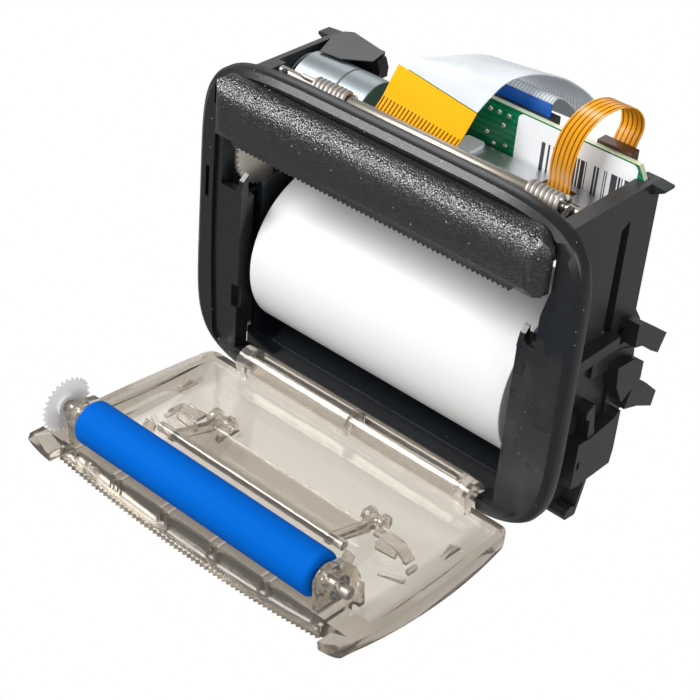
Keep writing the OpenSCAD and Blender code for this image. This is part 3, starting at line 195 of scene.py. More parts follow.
def cells(tree, place, scale):
    """Outputs of round cells: the distance from each cell's middle, and a colour of its own."""
    pattern = tree.nodes.new("ShaderNodeTexVoronoi")
    pattern.inputs["Scale"].default_value = scale
    tree.links.new(place, pattern.inputs["Vector"])
    return pattern.outputs


def relief(tree, height, strength, distance, under=None, sunk=False):
    """Normal of a surface that a height raises, or sinks, over the normal that lies under it."""
    bump = tree.nodes.new("ShaderNodeBump")
    bump.invert = sunk
    bump.inputs["Distance"].default_value = distance
    feed(tree, bump.inputs["Strength"], strength)
    tree.links.new(height, bump.inputs["Height"])
    if under is not None:
        tree.links.new(under, bump.inputs["Normal"])
    return bump.outputs["Normal"]


def mixed(tree, share, first, second, mode="MIX"):
    """Two colours mixed: a share of nothing leaves the first, a share of one gives the second."""
    mix = tree.nodes.new("ShaderNodeMix")
    mix.data_type = "RGBA"
    mix.blend_type = mode
    for slot, value in ((0, share), (6, first), (7, second)):
        feed(tree, mix.inputs[slot], value)
    return mix.outputs[2]


def moulded_grain():
    """Fine relief, soft blotches and sparse grey specks on a moulded face, from Object coordinates;
    the specks are dust, and on the release bar also painted glints.
    """
    blotches, speck_cells = 90, 420
    speck_size, speck_from = 0.07, 0.72
    relief_depth = 0.2 * MM
    speck_grey = (0.45, 0.45, 0.44, 1)
    tree = bpy.data.node_groups.new("moulded_grain", "ShaderNodeTree")
    number, colour = "NodeSocketFloat", "NodeSocketColor"
    for label, kind, value in (
            ("Colour", colour, (0.5, 0.5, 0.5, 1)), ("Roughness", number, 0.5),
            ("Fineness", number, 3000), ("Depth", number, 0.2),
            ("Mottle", number, 0.1), ("Dust_and_glints", number, 0.0)):
        tree.interface.new_socket(label, in_out="INPUT", socket_type=kind).default_value = value
    for label, kind in (("Colour", colour), ("Roughness", number), ("Normal", "NodeSocketVector")):
        tree.interface.new_socket(label, in_out="OUTPUT", socket_type=kind)
    given = tree.nodes.new("NodeGroupInput").outputs
    out = tree.nodes.new("NodeGroupOutput").inputs
    place = place_on(tree)
    grain = noise(tree, place, given["Fineness"], 1)
    tree.links.new(relief(tree, grain, given["Depth"], relief_depth), out["Normal"])
    swing = reckon(tree, "SUBTRACT", noise(tree, place, blotches, 5), 0.5)
    share = reckon(tree, "MULTIPLY", swing, given["Mottle"])
    tint = tree.nodes.new("ShaderNodeHueSaturation")
    tree.links.new(given["Colour"], tint.inputs["Color"])
    tree.links.new(reckon(tree, "MULTIPLY_ADD", share, 2, 1), tint.inputs["Value"])
    rough = reckon(tree, "ADD", given["Roughness"], share)
    rough.node.use_clamp = True
    tree.links.new(rough, out["Roughness"])
    # Grey specks: dust, and where their share is high, as on the release bar, painted glints as
    # well.
    specks = cells(tree, place, speck_cells)
    draw = tree.nodes.new("ShaderNodeSeparateColor")
    tree.links.new(specks["Color"], draw.inputs["Color"])
    speck = reckon(tree, "MULTIPLY", reckon(tree, "LESS_THAN", specks["Distance"], speck_size),
                   reckon(tree, "GREATER_THAN", draw.outputs["Red"], speck_from))
    speck_share = reckon(tree, "MULTIPLY", speck, given["Dust_and_glints"])
    tree.links.new(mixed(tree, speck_share, tint.outputs["Color"], speck_grey), out["Colour"])
    return tree


GRAIN = moulded_grain()


def finish(name, colour, roughness, fineness=3000, depth=0.15, mottle=0.08, dust_and_glints=0.0, sockets=()):
    """A material whose colour, roughness and relief come through the grain group."""
    material = bpy.data.materials.new(name)
    material.use_nodes = True
    tree = material.node_tree
    shader = tree.nodes["Principled BSDF"]
    grain = tree.nodes.new("ShaderNodeGroup")
    grain.node_tree = GRAIN
    for label, value in (("Colour", (*colour, 1)), ("Roughness", roughness),
                         ("Fineness", fineness), ("Depth", depth),
                         ("Mottle", mottle), ("Dust_and_glints", dust_and_glints)):
        grain.inputs[label].default_value = value
    for given, taken in (("Colour", "Base Color"), ("Roughness", "Roughness"),
                         ("Normal", "Normal")):
        tree.links.new(grain.outputs[given], shader.inputs[taken])
    for label, value in dict(sockets).items():
        shader.inputs[label].default_value = value
    return material


def body_of(node):
    """Name of the body that a node of the frame rides on."""
    return next(body for body, empty in frame["bodies"].items() if nodes[node].parent is empty)


def settle_piece(piece, material, *replaced, body=None):
    """Gives a new piece its material and body, and lets it stand for the nodes it replaces."""
    scene.collection.objects.link(piece)
    piece.data.materials.clear()
    piece.data.materials.append(material)
    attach(piece, body or body_of(replaced[0]))
    if replaced:
        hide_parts(*replaced)
    return piece


def turned_over(piece, radius, steps=2, edge=30):
    """A bevel with a radius in millimetres on every edge sharper than an angle in degrees."""
    turn = piece.modifiers.new("edge", "BEVEL")
    turn.width = radius * MM
    turn.segments = steps
    turn.limit_method = "ANGLE"
    turn.angle_limit = math.radians(edge)
    return turn


def eased(node, material, radius, steps=2, flat=0.3, reshape=None):
    """A copy of a moulded part, its facets joined and its edges turned over by a small radius."""
    joined_within = 2e-6
    mesh = bpy.data.meshes.new(node + "_eased")
    shape = bmesh.new()
    shape.from_mesh(nodes[node].data)
    bmesh.ops.remove_doubles(shape, verts=shape.verts, dist=joined_within)
    bmesh.ops.dissolve_limit(shape, angle_limit=math.radians(flat),
                             verts=shape.verts, edges=shape.edges)
    if reshape:
        reshape(shape)
    shape.to_mesh(mesh)
    shape.free()
    mesh.shade_smooth()
    piece = bpy.data.objects.new(node + "_eased", mesh)
    turned_over(piece, radius, steps).miter_outer = "MITER_ARC"
    piece.modifiers.new("flats", "WEIGHTED_NORMAL").weight = 90
    return settle_piece(piece, material, node)


satin_charcoal = finish("satin_charcoal", (0.0075, 0.009, 0.010), roughness=0.27,
                        fineness=5200, depth=0.10, mottle=0.10, dust_and_glints=0.6)
eased("front_bezel", satin_charcoal, 0.35, steps=3)
eased("hinge_pins", satin_charcoal, 0.15)

# ---- Side walls ----
# Two plates of glass-filled plastic, a shade lighter than the bezel, with a flange along
# the top, a groove for the board and, at the left, the window of the gears.
chassis_grey = finish("chassis_grey", (0.019, 0.0215, 0.0225), roughness=0.40,
                      fineness=4200, depth=0.22, mottle=0.14, dust_and_glints=0.25)
for wall in ("right_side_wall", "left_side_wall"):
    eased(wall, chassis_grey, 0.25)

# ---- Mounting frames ----
# Ribbed frames behind the bezel's posts, with the shelf, hooks and slanted block that hold
# the printer in its panel; moulded in the same grey, with a finer, glossier skin.
frame_grey = finish("frame_grey", (0.020, 0.021, 0.0225), roughness=0.33,
                    fineness=3600, depth=0.20, mottle=0.12, dust_and_glints=0.2)
for side in ("right_mounting_frame", "left_mounting_frame"):
    eased(side, frame_grey, 0.25)
for part in ("cable_guard", "gear_case"):
    eased(part, frame_grey, 0.3)

# ---- Paper bucket ----
# Deep trough that the roll lies in, moulded in polished blue-black plastic. A thin apron
# along its front floor closes the slit behind the hinge rail.
bucket_gloss = finish("bucket_gloss", (0.006, 0.008, 0.011), roughness=0.16,
                      fineness=1500, depth=0.04, mottle=0.06, dust_and_glints=0.35)
eased("paper_bucket", bucket_gloss, 0.3)


def face_outwards(mesh):
    """Merges points that lie on one another and turns every face of a closed mesh outwards."""
    shape = bmesh.new()
    shape.from_mesh(mesh)
    bmesh.ops.remove_doubles(shape, verts=shape.verts, dist=1e-7)
    bmesh.ops.recalc_face_normals(shape, faces=shape.faces)
    shape.to_mesh(mesh)
    shape.free()
    mesh.shade_smooth()


def slab(name, outline, start, end, axis):
    """A flat outline of points, pushed from start to end along an axis (0, 1 or 2)."""
    flat = np.array(outline, float)
    count = len(flat)
    layers = [np.insert(flat, axis, reach, axis=1) for reach in (start, end)]
    ring = np.arange(count)
    after = np.roll(ring, -1)
    walls = np.stack([ring, after, after + count, ring + count], axis=1).tolist()
    caps = [ring[::-1].tolist(), (ring + count).tolist()]
    mesh = bpy.data.meshes.new(name)
    mesh.from_pydata((np.concatenate(layers) * MM).tolist(), [], caps + walls)
    face_outwards(mesh)
    piece = bpy.data.objects.new(name, mesh)
    turned_over(piece, 0.15).harden_normals = True
    return piece


apron_front, apron_back, apron_top, apron_foot = 2.75, 9, -36.2, -43.6
apron_wall, apron_floor, apron_half_width = 0.95, 0.7, 45.2
corner_in, corner_up = 0.85, 0.4
apron_outline = [
    (apron_front, apron_top), (apron_front, apron_foot + corner_up),
    (apron_front + corner_in, apron_foot), (apron_back, apron_foot),
    (apron_back, apron_foot + apron_floor), (apron_front + apron_wall, apron_foot + apron_floor),
    (apron_front + apron_wall, apron_top)]
apron = slab("bucket_apron", apron_outline, -apron_half_width, apron_half_width, axis=0)
settle_piece(apron, bucket_gloss, body="housing")

# ---- Cross plate, motor and its flange ----
# A zinc-plated steel plate that carries the print head, a tinned earth tab with round
# corners, and the stepper motor, whose drawn steel can keeps fine marks that run round it.


def grain_in(material):
    """Outputs of the grain group of a finish."""
    return next(n for n in material.node_tree.nodes if n.type == "GROUP").outputs


def brushed(name, colour, roughness, squeeze, strength=0.35):
    """Metal with fine marks: noise squeezed along one axis, so that the marks run across it."""
    mark_depth = 0.04 * MM
    material = finish(name, colour, roughness, fineness=2500, depth=0.05, mottle=0.10,
                      sockets={"Metallic": 1.0})
    tree = material.node_tree
    stretch = tree.nodes.new("ShaderNodeMapping")
    stretch.inputs["Scale"].default_value = squeeze
    tree.links.new(place_on(tree), stretch.inputs["Vector"])
    marks = noise(tree, stretch.outputs["Vector"], 1, 2)
    normal = relief(tree, marks, strength, mark_depth, grain_in(material)["Normal"])
    tree.links.new(normal, tree.nodes["Principled BSDF"].inputs["Normal"])
    return material


zinc_plate = brushed("zinc_plate", (0.62, 0.63, 0.65), roughness=0.30,
                     squeeze=(200, 2600, 2600))
motor_steel = brushed("motor_steel", (0.36, 0.405, 0.425), roughness=0.45,
                      squeeze=(5200, 260, 260), strength=0.3)
eased("cross_plate", zinc_plate, 0.12)
eased("motor_flange", zinc_plate, 0.12)


def superellipse(centre, width, length, squareness, points):
    """A circle scaled at each angle so that |x|^n + |y|^n is the same all round, as an outline."""
    angle = np.linspace(0, 2 * math.pi, points, endpoint=False)
    across, along = np.cos(angle), np.sin(angle)
    power_sum = np.abs(across) ** squareness + np.abs(along) ** squareness
    reach = 0.5 * power_sum ** (-1 / squareness)
    return np.stack([centre[0] + width * reach * across, centre[1] + length * reach * along],
                    axis=1)


tab_outline = superellipse((1.6, 24.2), width=6.2, length=8.6, squareness=5, points=48)
tab = slab("earth_tab", tab_outline, start=28.58, end=29.5, axis=2)
tinned_tab = finish("tinned_tab", (0.93, 0.96, 0.98), roughness=0.3,
                    fineness=1800, depth=0.1, mottle=0.06)
settle_piece(tab, tinned_tab, body="housing")
eased("stepper_motor", motor_steel, 0.3, steps=3)

# ---- Gears ----
# A turned brass pinion on the motor, the big drive wheel of ivory acetal behind the left
# post, and the white nylon gear on the end of the platen's shaft.
brass = brushed("turned_brass", (0.72, 0.52, 0.22), roughness=0.28, squeeze=(300, 3000, 3000))
ivory = finish("ivory_acetal", (0.90, 0.85, 0.74), roughness=0.42,
               fineness=2200, depth=0.05, mottle=0.05, dust_and_glints=0.1,
               sockets={"Subsurface Weight": 0.15, "Subsurface Scale": 1 * MM})
nylon = finish("white_nylon", (0.97, 0.98, 0.98), roughness=0.45,
               fineness=1800, depth=0.06, mottle=0.04,
               sockets={"Subsurface Weight": 0.2, "Subsurface Scale": 1 * MM})
eased("motor_pinion", brass, 0.05)
eased("drive_wheel", ivory, 0.07)
eased("platen_gear", nylon, 0.08)

# ---- Shafts ----
# Ground steel: the rod that the latch levers hang on, the gears' axle and the platen's own
# shaft, each turned with a small lead at its ends.


def grid_piece(name, points, faces, smooth=40, uv=None):
    """An object from arrays of points and quads, merged, turned outwards and shaded smooth."""
    mesh = bpy.data.meshes.new(name)
    mesh.from_pydata(points.tolist(), [], faces.tolist())
    if uv is not None:
        layer = mesh.uv_layers.new(name="along")
        layer.data.foreach_set("uv", np.asarray(uv, np.float32)[faces.reshape(-1)].ravel())
    face_outwards(mesh)
    mesh.set_sharp_from_angle(angle=math.radians(smooth))
    return bpy.data.objects.new(name, mesh)


def lathe(name, profile, y, z, turns=96):
    """A turned shape: a closed profile of (x, radius) pairs carried once round an axis along X."""
    outline = np.array(profile, float) * MM
    x, radius = outline[:, 0][None, :], outline[:, 1][None, :]
    angle = np.arange(turns)[:, None] * (2 * math.pi / turns)
    count = len(outline)
    rings = np.stack([np.broadcast_to(x, (turns, count)),
                      y * MM + np.cos(angle) * radius,
                      z * MM + np.sin(angle) * radius], axis=2)
    a = np.arange(turns)[:, None] * count + np.arange(count)[None, :]
    b = np.roll(a, -1, axis=0)
    faces = np.stack([a, np.roll(a, -1, axis=1), np.roll(b, -1, axis=1), b], axis=2)
    return grid_piece(name, rings.reshape(-1, 3), faces.reshape(-1, 4))


def rounded_ends(x0, x1, radius, lead, steps):
    """Profile of a rod's skin: a quarter circle of the lead's radius at each end."""
    bend = np.linspace(0, math.pi / 2, steps)
    inward, lower = lead * (1 - np.cos(bend)), lead * (1 - np.sin(bend))
    first = np.stack([x0 + inward, radius - lower], axis=1)
    last = np.stack([x1 - inward, radius - lower], axis=1)[::-1]
    return np.concatenate([first, last])


def rod(name, x0, x1, radius, y, z, lead=0.3, bore=0.0):
    """A turned rod or tube with a rounded lead at both ends."""
    skin = rounded_ends(x0, x1, radius, lead, steps=5)
    return lathe(name, np.concatenate([skin, [(x1, bore), (x0, bore)]]), y, z)


def middle(node):
    """Two ends of a node's box along X, and its middle in Y and Z, in millimetres."""
    low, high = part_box(node)
    return low.x / MM, high.x / MM, (low.y + high.y) / 2 / MM, (low.z + high.z) / 2 / MM


ground_steel = brushed("ground_steel", (0.42, 0.385, 0.335), roughness=0.42,
                       squeeze=(2600, 700, 700), strength=0.2)
x0, x1, lever_y, lever_z = middle("lever_shaft")
end_radius, seat_radius, middle_radius, groove_radius, chamfer = 1.0, 1.3, 1.62, 0.9, 0.3
thick_left, thick_right, shoulder_slope = -22.6, 30.4, 0.4
groove_left, groove_right = 40.4, 41.3
lever_profile = [
    (x0, end_radius), (x0 + chamfer, seat_radius),
    (thick_left - shoulder_slope, seat_radius), (thick_left, middle_radius),
    (thick_right, middle_radius), (thick_right + shoulder_slope, seat_radius),
    (groove_left, seat_radius), (groove_left, groove_radius),
    (groove_right, groove_radius), (groove_right, seat_radius),
    (x1 - chamfer, seat_radius), (x1, end_radius), (x1, 0.0), (x0, 0.0)]
settle_piece(lathe("lever_rod", lever_profile, lever_y, lever_z), ground_steel, "lever_shaft")
shaft_radius = 1.5
x0, x1, y, z = middle("platen_shaft")
platen_rod = rod("platen_rod", x0, x1, shaft_radius, y, z, lead=0.35)
settle_piece(platen_rod, ground_steel, "platen_shaft")
eased("gear_axle", ground_steel, 0.1)

# ---- Springs ----
# Torsion springs of bright wire, wound close on the lever shaft and ending in a straight
# arm, and the two coil springs that press the head down.


def coil(name, x0, pitch, turns, radius, wire, y, z):
    """Wire wound round an axis along X: a circle of the wire's radius carried along a helix."""
    per_turn, sides = 26, 10
    along = np.arange(int(turns * per_turn) + 1)[:, None] * (2 * math.pi / per_turn)
    round_wire = np.arange(sides)[None, :] * (2 * math.pi / sides)
    reach = radius + wire / 2 * np.cos(round_wire)
    points = np.stack([
        x0 + wire / 2 + pitch * along / (2 * math.pi) + wire / 2 * np.sin(round_wire),
        y + reach * np.cos(along),
        z + reach * np.sin(along)], axis=2) * MM
    gaps = len(along) - 1
    a = np.arange(gaps)[:, None] * sides + np.arange(sides)[None, :]
    b = np.roll(a, -1, axis=1)
    skin = np.stack([a, a + sides, b + sides, b], axis=2).reshape(-1, 4)
    first = np.array([[0, 1, 2, 3], [0, 3, 4, 5], [0, 5, 6, 7], [0, 7, 8, 9]])
    last = first[:, ::-1] + gaps * sides
    return grid_piece(name, points.reshape(-1, 3), np.concatenate([skin, first, last]), 60)


def refinish(node, material):
    """Gives a CAD node a new material and leaves its shape as it is."""
    nodes[node].data.materials.clear()
    nodes[node].data.materials.append(material)


wire, close_pitch, wound_radius = 1.3, 1.30, 2.12
arm_radius, arm_forward, arm_rise = 0.62, -0.7, 1.75
spring_steel = brushed("spring_wire", (0.50, 0.475, 0.44), roughness=0.55,
                       squeeze=(900, 900, 900), strength=0.15)
for side, start, turns, arm_start, arm_end in (
        ("left", -33.6, 8.1, -37.2, -32.4), ("right", 30.0, 7.2, 36.8, 40.2)):
    spring = coil(side + "_lever_spring", start, close_pitch, turns, wound_radius, wire,
                  lever_y, lever_z)
    settle_piece(spring, spring_steel, side + "_torsion_spring")
    arm = rod(side + "_spring_arm", arm_start, arm_end, arm_radius,
              lever_y + arm_forward, lever_z + arm_rise)
    settle_piece(arm, spring_steel, body="housing")
refinish("head_springs", spring_steel)

# ---- Print head ----
# The heat sink of die-cast aluminium, and under it the ceramic strip with its glazed line
# of heating dots.
cast_aluminium = brushed("cast_aluminium", (0.60, 0.61, 0.63), roughness=0.36,
                         squeeze=(300, 1800, 1800))
glazed_ceramic = finish("glazed_ceramic", (0.74, 0.72, 0.66), roughness=0.22,
                        fineness=1200, depth=0.05, mottle=0.05)
eased("heat_sink", cast_aluminium, 0.2)
eased("thermal_head", glazed_ceramic, 0.1)

# ---- Circuit board ----
# Green solder mask over faint tracks, with bare glass-fibre along its cut edges; black,
# cream and brown parts stand on its rear, and bright solder shows at the front.


def parts_of(tree, vector):
    """The X, Y and Z of a vector, as sockets."""
    split = tree.nodes.new("ShaderNodeSeparateXYZ")
    tree.links.new(vector, split.inputs[0])
    return split.outputs


def tint_with(material, colour):
    """Leads a colour's socket to the base colour of a material."""
    shader = material.node_tree.nodes["Principled BSDF"]
    material.node_tree.links.new(colour, shader.inputs["Base Color"])


def solder_mask():
    """Green mask whose cut edges show cream fibre, with rows of tracks a shade darker."""
    bare_fibre, track_shade = (0.62, 0.68, 0.46, 1), 0.35
    material = finish("solder_mask", (0.003, 0.20, 0.078), roughness=0.26,
                      fineness=2500, depth=0.05, mottle=0.10,
                      sockets={"Coat Weight": 0.4, "Coat Roughness": 0.1})
    tree = material.node_tree
    tracks = tree.nodes.new("ShaderNodeTexWave")
    tracks.wave_type = "BANDS"
    tracks.bands_direction = "Z"
    tracks.inputs["Scale"].default_value = 190
    tracks.inputs["Distortion"].default_value = 3
    tracks.inputs["Detail Scale"].default_value = 0.6
    tree.links.new(place_on(tree), tracks.inputs["Vector"])
    green = mixed(tree, track_shade, grain_in(material)["Colour"], tracks.outputs["Color"],
                  "MULTIPLY")
    facing = parts_of(tree, tree.nodes.new("ShaderNodeNewGeometry").outputs["Normal"])
    cut_edge = reckon(tree, "LESS_THAN", reckon(tree, "ABSOLUTE", facing["Y"]), 0.5)
    tint_with(material, mixed(tree, cut_edge, green, bare_fibre))
    return material


eased("main_board", solder_mask(), 0.1, steps=1)
black_epoxy = finish("black_epoxy", (0.014, 0.014, 0.015), roughness=0.38,
                     fineness=2600, depth=0.2, mottle=0.08)
cream_nylon = finish("cream_nylon", (0.74, 0.70, 0.60), roughness=0.42,
                     fineness=2400, depth=0.1, mottle=0.06)
brown_nylon = finish("brown_nylon", (0.060, 0.024, 0.012), roughness=0.34,
                     fineness=2400, depth=0.1, mottle=0.08)
blue_film = finish("blue_film", (0.006, 0.090, 0.42), roughness=0.28,
                   fineness=900, depth=0.03, mottle=0.05)
for part, material, radius in (
        ("processor_chip", black_epoxy, 0.12), ("ribbon_socket", black_epoxy, 0.12),
        ("power_socket", cream_nylon, 0.15), ("data_socket", cream_nylon, 0.15),
        ("flex_socket", brown_nylon, 0.15), ("ribbon_stiffener", blue_film, 0.05),
        ("paper_sensor", cream_nylon, 0.15), ("board_screws", ground_steel, 0.15)):
    eased(part, material, radius)

board_low, board_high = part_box("main_board")
sunk_in = 0.02
board_front, board_rear = board_low.y / MM + sunk_in, board_high.y / MM - sunk_in
solder = finish("solder", (0.78, 0.79, 0.78), roughness=0.18,
                fineness=1200, depth=0.1, mottle=0.1, sockets={"Metallic": 1.0})


def domes(name, places, radius, height, y, outward):
    """Low domes of solder: a quarter wave of radius against height, turned about a line along Y."""
    sides, levels = 14, 5
    centre = np.array(places, float)[:, :, None, None]
    ring = np.arange(sides)[None, :] * (2 * math.pi / sides)
    climb = np.linspace(0, math.pi / 2, levels)[:, None]
    flat = radius * np.cos(climb)
    points = np.stack(np.broadcast_arrays(
        centre[:, 0] + flat * np.cos(ring),
        y + outward * height * np.sin(climb)[None],
        centre[:, 1] + flat * np.sin(ring)), axis=3) * MM
    a = np.arange(levels - 1)[:, None] * sides + np.arange(sides)[None, :]
    b = np.roll(a, -1, axis=1)
    one = np.stack([a, b, b + sides, a + sides], axis=2).reshape(-1, 4)
    faces = one[None] + (np.arange(len(places)) * sides * levels)[:, None, None]
    return grid_piece(name, points.reshape(-1, 3), faces.reshape(-1, 4), 60)


front_joints = [(3.2, 37.6), (5.8, 37.7), (8.6, 37.7), (7.4, 34.8), (8.6, 29.9), (3.0, 31.4),
                (5.2, 29.2)]
front_solder = domes("front_solder", front_joints, radius=0.62, height=0.28,
                     y=board_front, outward=-1)
settle_piece(front_solder, solder, body="housing")
rear_joints = [(x, z) for z in (12.4, 14.0) for x in np.arange(-20, -1, 1.6)]
rear_joints += [(x, z) for x in (-17, -13, 21, 24.5, 40, 43) for z in (20.5, 23.5, 26.5)]
rear_solder = domes("rear_solder", rear_joints, radius=0.42, height=0.2,
                    y=board_rear, outward=1)
settle_piece(rear_solder, solder, body="housing")


def chips(name, places, size):
    """Small chip parts: the eight corners of a block shifted to each place on the rear face."""
    corners = np.array([(i, j, k) for i in (-0.5, 0.5) for j in (0, 1) for k in (-0.5, 0.5)])
    spot = np.array(places, float)
    centre = np.stack([spot[:, 0], np.full(len(spot), board_rear), spot[:, 1]], axis=1)
    points = (centre[:, None] + (corners * size)[None]) * MM
    block = np.array([[0, 1, 3, 2], [4, 6, 7, 5], [0, 4, 5, 1], [2, 3, 7, 6], [0, 2, 6, 4],
                      [1, 5, 7, 3]])
    faces = block[None] + (np.arange(len(spot)) * len(corners))[:, None, None]
    piece = grid_piece(name, points.reshape(-1, 3), faces.reshape(-1, 4), 30)
    turned_over(piece, 0.06)
    return piece


capacitor_places = [(22, 32), (25, 32), (28, 32), (21, 28), (41, 28), (41, 32), (44, 30),
                    (-16, 30), (-19, 30), (-16, 34)]
resistor_places = [(22, 29.5), (25, 29.5), (28, 29.5), (31, 29.5), (34, 29.5), (-19, 33.5),
                   (-13, 30), (-13, 33)]
capacitors = chips("rear_capacitors", capacitor_places, size=(1.6, 0.9, 0.9))
settle_piece(capacitors, cream_nylon, body="housing")
resistors = chips("rear_resistors", resistor_places, size=(1.4, 0.5, 0.8))
settle_piece(resistors, black_epoxy, body="housing")

# ---- Board label ----
# White paper label with round corners on the board's front; plain dark bars of uneven
# width stand in one block on it.


def within(tree, value, start, end):
    """One where a value lies inside a range, and nothing outside it."""
    return reckon(tree, "MULTIPLY", reckon(tree, "GREATER_THAN", value, start),
                  reckon(tree, "LESS_THAN", value, end))


def barred_paper():
    """White paper with a block of bars: a stepped random value along X picks bar or paper."""
    bar_step, inked_share = 0.28 * MM, 0.48
    bars_left, bars_right, bars_foot, bars_top = 0.22, 0.95, 0.42, 0.80
    ink_black = (0.03, 0.03, 0.035, 1)
    material = finish("barred_paper", (0.84, 0.86, 0.88), roughness=0.55,
                      fineness=2200, depth=0.06, mottle=0.04)
    tree = material.node_tree
    low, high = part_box("board_label")
    width, height = high.x - low.x, high.z - low.z
    place = parts_of(tree, place_on(tree))
    across = reckon(tree, "SUBTRACT", place["X"], low.x)
    rise = reckon(tree, "SUBTRACT", place["Z"], low.z)
    pick = tree.nodes.new("ShaderNodeTexWhiteNoise")
    pick.noise_dimensions = "1D"
    column = reckon(tree, "FLOOR", reckon(tree, "DIVIDE", across, bar_step))
    tree.links.new(column, pick.inputs["W"])
    bar = reckon(tree, "LESS_THAN", pick.outputs["Value"], inked_share)
    block = reckon(tree, "MULTIPLY",
                   within(tree, across, width * bars_left, width * bars_right),
                   within(tree, rise, height * bars_foot, height * bars_top))
    ink = reckon(tree, "MULTIPLY", bar, block)
    tint_with(material, mixed(tree, ink, grain_in(material)["Colour"], ink_black))
    return material


refinish("board_label", barred_paper())

# ---- Ribbon, flex and head film ----
# Flat cables: a white ribbon of grey conductors that loops over the board, an amber film
# with copper tracks from it to the print head, and a narrow orange flex to the sensors.


def smooth_path(stations, steps):
    """Catmull-Rom curve through the stations, all its points as one array."""
    known = np.array(stations, float)
    ends = np.concatenate([known[:1], known, known[-1:]])
    t = (np.arange(steps) / steps)[None, :, None]
    a, b, c, d = (ends[i:len(known) - 1 + i, None, :] for i in range(4))
    curve = 0.5 * (2 * b + (c - a) * t + (2 * a - 5 * b + 4 * c - d) * t ** 2
                   + (3 * b - a - 3 * c + d) * t ** 3)
    return np.concatenate([curve.reshape(-1, known.shape[1]), known[-1:]])


def flat_cable(name, stations, left, right, thickness, across):
    """A thin strip: both faces of a grid, v along the path and u across it, and its rims.

    A station gives the path's y and z, a shift of the strip along x, and the rise of its
    left edge over its right one, all in millimetres."""
    path = smooth_path(stations, 8)
    lead = np.gradient(path[:, :2], axis=0)
    lead /= np.linalg.norm(lead, axis=1)[:, None]
    away = np.stack([-lead[:, 1], lead[:, 0]], axis=1) * thickness / 2
    u = np.linspace(0, 1, across + 1)
    x = left + (right - left) * u[None, :] + path[:, 2][:, None]
    z = path[:, 1][:, None] + path[:, 3][:, None] * (1 - u[None, :])
    y = path[:, 0][:, None] + 0 * u[None, :]
    skins = [np.stack([x, y + s * away[:, 0][:, None], z + s * away[:, 1][:, None]], axis=2)
             for s in (1, -1)]
    points = np.concatenate([skin.reshape(-1, 3) for skin in skins]) * MM
    pieces = np.linalg.norm(np.diff(path[:, :2], axis=0), axis=1)
    length = np.concatenate([[0], np.cumsum(pieces)])
    v = (length / length[-1])[:, None]
    uv = np.stack(np.broadcast_arrays(u[None, :], v), axis=2).reshape(-1, 2)
    rows, columns = len(path), across + 1
    under = rows * columns
    a = (np.arange(rows - 1)[:, None] * columns + np.arange(across)[None, :]).reshape(-1)
    top = np.stack([a, a + 1, a + 1 + columns, a + columns], axis=1)
    faces = [top, top[:, ::-1] + under]
    edge = np.arange(rows - 1) * columns
    foot = np.arange(across)
    for start, step in ((edge, columns), (edge + across, columns),
                        (foot, 1), (foot + (rows - 1) * columns, 1)):
        faces.append(np.stack([start, start + step, start + step + under, start + under], axis=1))
    return grid_piece(name, points, np.concatenate(faces), 40, np.concatenate([uv, uv]))


def striped(name, colour, line, lines, width, last, roughness, sockets=()):
    """Lines along a cable: a wave across the u of its map, cut to a width, kept to v of last."""
    material = finish(name, colour, roughness, fineness=700, depth=0.02, mottle=0.06,
                      sockets=sockets)
    tree = material.node_tree
    layer = tree.nodes.new("ShaderNodeUVMap")
    layer.uv_map = "along"
    place = parts_of(tree, layer.outputs["UV"])
    phase = reckon(tree, "FRACT", reckon(tree, "MULTIPLY", place["X"], lines))
    inside = within(tree, phase, 0.5 - width / 2, 0.5 + width / 2)
    inked = reckon(tree, "MULTIPLY", inside, within(tree, place["Y"], 0.0, last))
    tint_with(material, mixed(tree, inked, grain_in(material)["Colour"], (*line, 1)))
    return material


top = board_high.z / MM
rear = board_high.y / MM
ribbon_route = [
    [rear + 2.3, top + 2.8, 0, 0], [35.8, top + 3.6, 0, 0], [40, top + 1.5, -0.4, -0.3],
    [46, top - 3.4, -1, -0.8], [51, top - 8.2, -1.6, -1], [55, top - 10.4, -1.9, -1],
    [57.4, top - 9.6, -2, -1], [56.8, top - 6.2, -2.2, -1.2], [53.7, top - 2.6, -2.5, -1.6],
    [47.5, top + 2.2, -3.4, -2.2], [42.2, top + 5.3, -4.4, -3.4], [35.9, top + 7.5, -5.9, -4.4],
    [30.9, top + 7.6, -7.9, -4.2], [27.5, top + 6.3, -9.4, -2.4], [25.2, top + 2.7, -11.4, 1.4],
    [22.3, top - 0.5, -12.4, 3.4]]
ribbon_white = striped("ribbon_white", (0.84, 0.87, 0.90), (0.52, 0.54, 0.57),
                       lines=26, width=0.5, last=0.60, roughness=0.4,
                       sockets={"Transmission Weight": 0.45, "IOR": 1.1})
ribbon = flat_cable("white_ribbon", ribbon_route, left=-6.6, right=17.4, thickness=0.3,
                    across=24)
settle_piece(ribbon, ribbon_white, "ribbon_cable")
film_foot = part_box("head_film")[0].z / MM
film_route = [
    [4.2, film_foot, 0, 0], [6, 27.304, 0, 0], [8.2, 30.004, 0, 0], [12, 31.404, 0, 0.4],
    [17, 34.004, 0, 2], [20, top - 3.2, 0, 3.2], [22.2, top - 0.7, 0, 3.4]]
amber_film = striped("amber_film", (0.86, 0.385, 0.0), (0.14, 0.05, 0.004),
                     lines=22, width=0.38, last=0.70, roughness=0.5,
                     sockets={"Specular IOR Level": 0.05})
film = flat_cable("amber_head_film", film_route, left=-19, right=5, thickness=0.2, across=24)
settle_piece(film, amber_film, "head_film")
